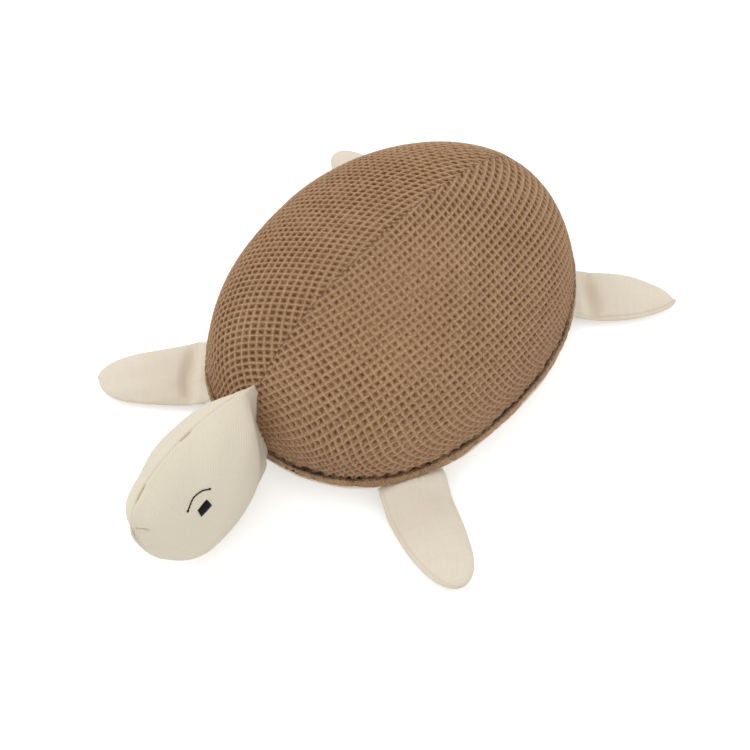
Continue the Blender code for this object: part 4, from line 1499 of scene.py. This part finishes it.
def head_skin(skull, head):
    """The head's cloth as closed loops from the neck to the nose, with its seams and puckers:
    points, normals, weave map and how dark the painted shade in the creases is."""
    levels = round_shares(HEAD_COLUMNS)
    sides = np.repeat([1, -1], HEAD_COLUMNS)[None]
    starts = skull.start(levels, sides)
    places = starts + (NOSE_END_SHARE - starts) * row_shares(HEAD_ROWS)
    points = skull.at(places, levels + 0 * places, sides + 0 * places)
    normals = grid_normals(points, True)
    centre = points.mean(axis=1, keepdims=True)
    if ((points - centre) * normals).sum(axis=-1)[20].mean() < 0:
        normals = -normals
    round_it = arc(np.concatenate([points, points[:, :1]], 1), 1)
    round_it, total = round_it[:, :-1], round_it[:, -1:]
    from_crest = np.minimum(round_it, total - round_it)
    from_chin = np.abs(round_it - round_it[:, HEAD_COLUMNS : HEAD_COLUMNS + 1])
    height, crease = seam_relief(head, places, from_crest, CREST_CREASE_SHARES)
    lower, dark = seam_relief(head, places, from_chin, CHIN_CREASE_SHARES)
    height, crease = height + lower, np.maximum(crease, dark)
    for side in SIDES.values():
        gap = dart_gap(skull, points, side)
        here = sides == side
        dart = DART_DEPTH * near(gap, DART_REACH) + DIMPLE_DEPTH * near(gap, DIMPLE_REACH)
        height -= dart * here
        # A line of painted shade along the nose dart
        crease = np.maximum(crease, 0.45 * near(gap, DART_LINE) * here)
    inland = (1 - near(from_crest, CREST_HELD_REACH)) * (1 - near(from_chin, CHIN_HELD_REACH))
    height += skull.swell(places, levels, sides) * inland
    weave = np.stack([arc(points, 0), round_it - total * (sides < 0)], -1)
    return points + normals * height[..., None], normals, weave, crease


def head_panel(name, skin, first):
    """One side of the head, from the crest or the chin on."""
    points, _, weave, crease = skin
    picked = half_loop(first, HEAD_COLUMNS)
    part, woven = points[:, picked], weave[:, picked]
    woven[:, -1, 1] = 0 if first else woven[:, -2, 1] * 2 - woven[:, -3, 1]
    mesh = mesh_of(name, part, grid_faces(*part.shape[:2]), woven, crease[:, picked])
    face_away(mesh, points[len(points) // 2].mean(axis=0))
    return mesh


class TURTLE_OT_head(Operator):
    """Twill panels of the head, the neck that joins them to the shell, and the crest seam"""

    bl_idname = "turtle.head"
    bl_label = "Head cloth"

    def execute(self, context):
        scene = context.scene
        head, hem = scene.turtle_head, scene.turtle_hem
        dome = Dome(scene.turtle_shell)
        skull = Skull(dome, head, hem)
        skin = head_skin(skull, head)
        finish = twill_finish(tuple(head.cloth), tuple(head.crease), head.rib)
        bend = skull.bend(head.bend)
        for word, first in (("left", 0), ("right", HEAD_COLUMNS)):
            name = "head_" + word
            mesh = head_panel(name + "_cloth", skin, first)
            add_piece(mesh, finish, "twill_cream", bend, name + "_panel", filling=0.85)
        points, normals, weave, _ = skin
        self.neck(dome, skull, points, weave[0], finish)
        lifted = points + normals * head.thread_size * 0.1
        path = np.concatenate([lifted[:, 0], lifted[-2::-1, HEAD_COLUMNS]])
        sizes = head.stitch, head.stitch, head.thread_size
        thread = thread_finish("cream_thread", tuple(head.thread))
        seat = "thread_cream", bend, "head_crest_seam"
        stitch("head_crest_stitches", path, sizes, thread, *seat)
        for word, side in SIDES.items():
            path = skull.on_skin(DART_SHARES, side, -DART_SUNK)
            seat = "thread_cream", "head", "nose_dart_" + word
            stitch("nose_dart_stitches_" + word, path, sizes, thread, *seat)
        return {"FINISHED"}

    def neck(self, dome, skull, skin, weave, finish):
        """The cloth that turns in behind the head's rear edge and is sewn to the shell."""
        edge = skin[0]
        middle = edge.mean(axis=0)
        back = edge - skin[2]
        back /= np.linalg.norm(back, axis=-1, keepdims=True)
        guide = dome.guide()
        sewn_at, leave = [], []
        for point in middle + (edge - middle) * NECK_NARROW:
            hit, normal = guide.find_nearest(Vector(point))[:2]
            sewn_at.append(tuple(hit - normal * NECK_UNDER))
            leave.append(tuple(hit + normal * NECK_LEAVE))
        sewn_at, leave = np.array(sewn_at), np.array(leave)
        arrive = edge + back * NECK_REACH
        t = np.linspace(0, 1, NECK_ROWS)[:, None, None]
        points = sewn_at * (1 - t) ** 3 + 3 * leave * (1 - t) ** 2 * t
        points = points + 3 * arrive * (1 - t) * t ** 2 + edge * t ** 3
        woven = weave[None] + np.concatenate([t - 1, 0 * t], -1) * NECK_CLOTH
        mesh = mesh_of("neck_cloth", points, grid_faces(NECK_ROWS, len(edge), True), woven)
        face_away(mesh, middle)
        ends = (NECK_BEND_START, NECK_BEND_END)
        start, end = (skull.corner + skull.forward * place for place in ends)
        add_piece(mesh, finish, "twill_cream", ("body", "neck", start, end), filling=0.9)


class TURTLE_OT_face(Operator):
    """Satin-stitched eyes and back-stitched eyelids"""

    bl_idname = "turtle.face"
    bl_label = "Face"

    def execute(self, context):
        scene = context.scene
        face = scene.turtle_face
        skull = Skull(Dome(scene.turtle_shell), scene.turtle_head, scene.turtle_hem)
        black = thread_finish("black_thread", tuple(face.black), roughness=0.55, sheen=0, shine=0.1)
        share = np.array(EYELID_SHARES)
        steps = np.linspace(0, len(share) - 1, 40)
        lid = [np.interp(steps, np.arange(len(share)), part) for part in share.T]
        for word, side in SIDES.items():
            path = self.satin(skull, side, face.strand)
            values = {"Thread": face.strand, "Material": black}
            mesh = sewn("eye_" + word + "_satin", strand_tree(), path, values)
            add_piece(mesh, black, "embroidery_black", "head", "eye_" + word)
            path = skull.on_skin(np.transpose(lid), side, face.line * 0.25)
            sizes = face.stitch * 0.74, face.stitch, face.line
            seat = "embroidery_black", "head", "eyelid_stitch_" + word
            name = "eyelid_" + word + "_stitches"
            stitch(name, path, sizes, black, *seat, knot=face.line * 1.6)
        return {"FINISHED"}

    def satin(self, skull, side, strand):
        """A zigzag of thread that fills the eye, each strand a little arched."""
        a, b, c, d = (np.array(corner) for corner in EYE_CORNER_SHARES)
        run = np.linalg.norm(skull.at(*a, side) - skull.at(*d, side))
        count = int(run / (strand * 0.80))
        path = []
        for i in range(count + 1):
            share = i / count
            first, last = a + (d - a) * share, b + (c - b) * share
            if i % 2:
                first, last = last, first
            for j, arch in enumerate((0.10, 0.75, 1.0, 0.75, 0.10)):
                path.append(skull.on_skin(first + (last - first) * j / 4, side, strand * arch))
        return np.array(path)


# Flippers


class Flipper:
    """The outline of one flipper and its place on the rim."""

    def __init__(self, dome, sizes, hem, name):
        self.name = name + "_flipper"
        self.spec = FLIPPERS[name]
        self.sizes = sizes
        share = self.spec["shown"] * (1 - self.spec["tuck"])
        self.reach = getattr(sizes, self.spec["length"]) * share
        self.hem_bottom = dome.rim_height - hem.band / 2
        angle = dome.rim_angle(dome.half_length * self.spec["place"], self.spec["side"])
        outward = dome.rim_normal(angle)
        root = dome.beside(angle, hem.proud + SEAT_GAP, 0)
        turn = atan2(outward[1], outward[0])
        frame = np.array(Matrix.Translation(root) @ Matrix.Rotation(turn, 4, "Z"))
        self.turn, self.origin = frame[:3, :3], frame[:3, 3]
        self.sweep = radians(self.spec["heading"]) - turn
        self.phase = self.spec["heading"]
        self.outward, root = Vector(outward), Vector(root)
        start, end = root - self.outward * BEND_BEFORE, root + self.outward * BEND_AFTER
        self.bend = "body", self.name, start, end

    def spread(self, across, share, out):
        """How much wider than its plain outline the flipper is."""
        left, spec = across < 0, self.spec
        spread = 1 + np.where(left, *spec["fuller"]) * np.sin(pi * share ** 0.8)
        spread = spread + np.where(left, *spec["root"]) * near(out, ROOT_REACH)
        return spread + np.where(left, *spec["end"]) * near(share - TIP_PLACE, TIP_REACH)

    def folds(self, across, out, from_edge):
        """Small folds of the top and bottom: broad ones, pleats at the root and a puckered edge."""
        phase = self.phase
        broad = np.sin(across * 7 + phase) * np.sin(out * 88 + phase)
        pleat = np.sin(across * 19 + phase + 3 * np.sin(across * 5)) * near(out, PLEAT_REACH)
        edge = np.sin(out * 2 * pi / EDGE_PITCH + phase) * near(from_edge, EDGE_REACH)
        return FLIPPER_FOLD * (broad + pleat * (1 - across ** 4)) + EDGE_PUCKER * edge

    def loops(self, inset=0.0, count=FLIPPER_ROWS, columns=FLIPPER_COLUMNS):
        """Loops of the skin from the root to the tip, with its small folds, and at each point its
        painted
        shade: a shadow line near the edge seam and shade in the dent."""
        p, spec = self.sizes, self.spec
        share = row_shares(count)
        out = (self.reach - inset) * share
        along = spec["tuck"] + (1 - spec["tuck"]) * share
        blunt = np.sqrt(np.maximum(1 - along ** FLIPPER_END_POWER, 0))
        end = np.sqrt(np.maximum(1 - along ** spec["tip"], 0))
        half = (p.width / 2 - inset) * (1 - spec["taper"] * along) * end
        high = self.hem_bottom + spec["lap"] - p.crown
        seam = high - (high - p.seam_height) * (1 - near(out, p.sag))
        across = round_shares(columns)
        over = np.repeat([1.0, 0.0], columns)[None]
        line = 1 + DENT_WANDER * np.sin(across * DENT_TURN + self.phase)
        bent = out - p.dent_place * line
        dent = spec["dent"] * near(bent, p.dent_reach)
        thick = np.sqrt(np.maximum(1 - np.abs(across) ** FLIPPER_CROWN_POWER, 0)) * blunt
        rise = (p.crown * (1 - dent) - inset) * thick
        fall = (p.seam_height - p.floor_gap - inset) * thick
        from_edge = (1 - np.abs(across)) * half
        # Painted shadow line beside the edge, strong on one side of the flipper and faint on the
        # other; the same mask sinks a real groove there
        seen = np.where(across * spec["side"] < 0, spec["line"], 0.1) * over
        groove = near(from_edge - EDGE_LINE, EDGE_LINE_REACH) * seen
        rise = rise + self.folds(across, out, from_edge) * thick ** 0.5 - EDGE_LINE_DEPTH * groove
        # Painted shade in the dent
        painted_dent_shade = DENT_SHADE * dent * thick * near(bent, p.dent_reach * 0.8) * over
        height = seam + np.where(over > 0, rise, -fall)
        ahead = out * (1 + spec["slant"] * across * share ** 2)
        x = ahead * cos(self.sweep)
        y = across * half * self.spread(across, share, out) + ahead * sin(self.sweep)
        points = np.stack([x, y, height], -1) @ self.turn.T + self.origin
        return points, np.maximum(groove, painted_dent_shade)

    def skin(self):
        """The loops with a few more behind, which pass under the hem, and how dark the painted
        shade at each point of them is."""
        points, groove = self.loops()
        root, behind = points[0], []
        for share in (1.0, 0.66, 0.33):
            row = root - np.array(self.outward) * (TUCK_DEPTH * share)
            row[:, 2] += (self.hem_bottom - TUCK_UNDER - root[:, 2]) * TUCK_SHARE * share
            behind.append(row)
        return np.concatenate([behind, points]), np.concatenate([groove[[0, 0, 0]], groove])

    def stuffing(self, gap):
        """A closed mesh inside the skin."""
        loops = self.loops(gap, STUFFING_ROWS, STUFFING_COLUMNS)[0]
        root = np.repeat(loops[:1].mean(axis=1, keepdims=True), loops.shape[1], 1)
        points = np.concatenate([root, loops])
        mesh = mesh_of(self.name + "_wadding", points, grid_faces(*points.shape[:2], True))
        close_up(mesh)
        return mesh


class TURTLE_OT_flippers(Operator):
    """Four linen flippers: top and bottom cloth and the seam round the edge"""

    bl_idname = "turtle.flippers"
    bl_label = "Flippers"

    def execute(self, context):
        scene = context.scene
        sizes = scene.turtle_flippers
        dome = Dome(scene.turtle_shell)
        finish = linen_finish("cream_linen", tuple(sizes.cloth), tuple(sizes.crease), sizes.yarn)
        thread = thread_finish("linen_thread", tuple(sizes.thread))
        for word in FLIPPERS:
            flipper = Flipper(dome, sizes, scene.turtle_hem, word)
            # groove holds the painted shade at each point
            points, groove = flipper.skin()
            down = arc(points, 0)
            for layer, first, up in (("top", 0, 1), ("bottom", FLIPPER_COLUMNS, -1)):
                picked = half_loop(first, FLIPPER_COLUMNS)
                part = points[:, picked]
                wide = np.linalg.norm(part - part[:, :1], axis=-1)
                weave = np.stack([down[:, picked], wide], -1)
                name = flipper.name + "_" + layer
                faces = grid_faces(*part.shape[:2], flip=True)
                mesh = mesh_of(name + "_cloth", part, faces, weave, groove[:, picked])
                face_away(mesh, (0, 0, -up))
                seat = "linen_cream", flipper.bend, name + "_panel"
                add_piece(mesh, finish, *seat, filling=0.35)
            edge = flipper.loops(-EDGE_SEAM_OUT)[0]
            path = np.concatenate([edge[:, 0], edge[-2::-1, FLIPPER_COLUMNS]])
            name = flipper.name + "_edge"
            lengths = sizes.stitch, sizes.stitch, sizes.thread_size
            seat = "thread_cream", flipper.bend, name + "_seam"
            stitch(name + "_stitches", path, lengths, thread, *seat)
        return {"FINISHED"}


# Wadding and stage


class TURTLE_OT_wadding(Operator):
    """Loose fibre inside the body, the neck, the head and the flippers"""

    bl_idname = "turtle.wadding"
    bl_label = "Wadding"

    def execute(self, context):
        scene = context.scene
        dome = Dome(scene.turtle_shell)
        skull = Skull(dome, scene.turtle_head, scene.turtle_hem)
        finish = wadding_finish()
        holders = {"body": "body", "neck": "neck", "head": skull.bend(scene.turtle_head.bend)}
        for word, carrier in holders.items():
            node = word + "_filling"
            mesh = self.tuft(word + "_wadding", node, None if word == "body" else skull)
            add_piece(mesh, finish, "fibre_white", carrier, node, filling=0.9)
        for word in FLIPPERS:
            flipper = Flipper(dome, scene.turtle_flippers, scene.turtle_hem, word)
            seat = "fibre_white", flipper.bend, flipper.name + "_filling"
            add_piece(flipper.stuffing(STUFFING_GAP), finish, *seat, filling=0.9)
        return {"FINISHED"}

    def tuft(self, name, node, skull):
        """A softened copy of a filling, drawn in unevenly, and with the neck if in the head."""
        mesh = frame["nodes"][node].data.copy()
        mesh.name = name
        with opened(mesh) as made:
            bmesh.ops.remove_doubles(made, verts=made.verts, dist=1e-5)
            bmesh.ops.subdivide_edges(made, edges=made.edges, cuts=1, use_grid_fill=True)
            every_way = {"use_axis_x": True, "use_axis_y": True, "use_axis_z": True}
            bmesh.ops.smooth_vert(made, verts=made.verts, factor=0.5, **every_way)
            made.normal_update()
            for vert in made.verts:
                uneven = 1 + noise.noise(vert.co * TUFT_SCALE)
                vert.co -= vert.normal * TUFT_DEPTH * uneven
            if skull:
                places = skull.drawn_in(np.array([vert.co for vert in made.verts]))
                for vert, place in zip(made.verts, places):
                    vert.co = place
        mesh.shade_smooth()
        return mesh


class TURTLE_OT_stage(Operator):
    """Floor, light and camera"""

    bl_idname = "turtle.stage"
    bl_label = "Stage"

    def execute(self, context):
        scene = context.scene
        stage = scene.turtle_stage
        world = bpy.data.worlds.new("white_sky")
        world.use_nodes = True
        sky = world.node_tree.nodes["Background"]
        sky.inputs["Color"].default_value = (1, 1, 1, 1)
        sky.inputs["Strength"].default_value = stage.sky
        scene.world = world
        mesh = bpy.data.meshes.new("floor")
        corners = ((-1, -1), (1, -1), (1, 1), (-1, 1))
        corners = [(x * FLOOR_HALF, y * FLOOR_HALF, -FLOOR_DROP) for x, y in corners]
        mesh.from_pydata(corners, [], [(0, 1, 2, 3)])
        mesh.materials.append(floor_finish(tuple(stage.floor)))
        floor = bpy.data.objects.new("floor", mesh)
        scene.collection.objects.link(floor)
        light = bpy.data.lights.new("soft_lamp", "SUN")
        light.energy = stage.key
        light.angle = stage.key_angle
        lamp = bpy.data.objects.new("soft_lamp", light)
        lamp.rotation_mode = "QUATERNION"
        lamp.rotation_quaternion = Vector(LAMP_SIDE).to_track_quat("Z", "Y")
        scene.collection.objects.link(lamp)
        lens = bpy.data.cameras.new("camera")
        lens.sensor_fit = "HORIZONTAL"
        lens.angle = stage.lens
        camera = bpy.data.objects.new("camera", lens)
        turn = Matrix((CAMERA_RIGHT, CAMERA_UP, -Vector(CAMERA_FORWARD))).transposed().to_4x4()
        camera.matrix_world = Matrix.Translation(CAMERA_PLACE) @ turn
        scene.collection.objects.link(camera)
        scene.camera = camera
        scene.view_settings.view_transform = "Standard"
        return {"FINISHED"}


class TURTLE_PT_sewing(Panel):
    """Lists the turtle's operators and their sizes"""

    bl_idname = "TURTLE_PT_sewing"
    bl_label = "Plush turtle"
    bl_space_type = "VIEW_3D"
    bl_region_type = "UI"
    bl_category = "Turtle"

    def draw(self, context):
        layout = self.layout
        for operator in OPERATORS:
            layout.operator(operator.bl_idname)
        for name, group in SETTINGS:
            box = layout.box()
            box.label(text=group.__doc__)
            for key in group.__annotations__:
                box.prop(getattr(context.scene, name), key)


OPERATORS = (
    TURTLE_OT_stage,
    TURTLE_OT_shell_cloth,
    TURTLE_OT_hem,
    TURTLE_OT_belly,
    TURTLE_OT_head,
    TURTLE_OT_face,
    TURTLE_OT_flippers,
    TURTLE_OT_wadding,
)
SETTINGS = (
    ("turtle_shell", TurtleShell),
    ("turtle_hem", TurtleHem),
    ("turtle_belly", TurtleBelly),
    ("turtle_head", TurtleHead),
    ("turtle_face", TurtleFace),
    ("turtle_flippers", TurtleFlippers),
    ("turtle_stage", TurtleStage),
)


def register():
    """Registers the classes and hangs the settings on the scene."""
    for name, group in SETTINGS:
        bpy.utils.register_class(group)
        setattr(bpy.types.Scene, name, PointerProperty(type=group))
    for kind in (*OPERATORS, TURTLE_PT_sewing):
        bpy.utils.register_class(kind)


def unregister():
    """Takes them away again."""
    for kind in (TURTLE_PT_sewing, *reversed(OPERATORS)):
        bpy.utils.unregister_class(kind)
    for name, group in reversed(SETTINGS):
        delattr(bpy.types.Scene, name)
        bpy.utils.unregister_class(group)


def main():
    """Makes every piece in order."""
    register()
    bpy.ops.turtle.stage()
    bpy.ops.turtle.shell_cloth()
    bpy.ops.turtle.hem()
    bpy.ops.turtle.belly()
    bpy.ops.turtle.head()
    bpy.ops.turtle.face()
    bpy.ops.turtle.flippers()
    bpy.ops.turtle.wadding()


if __name__ == "__main__":
    main()
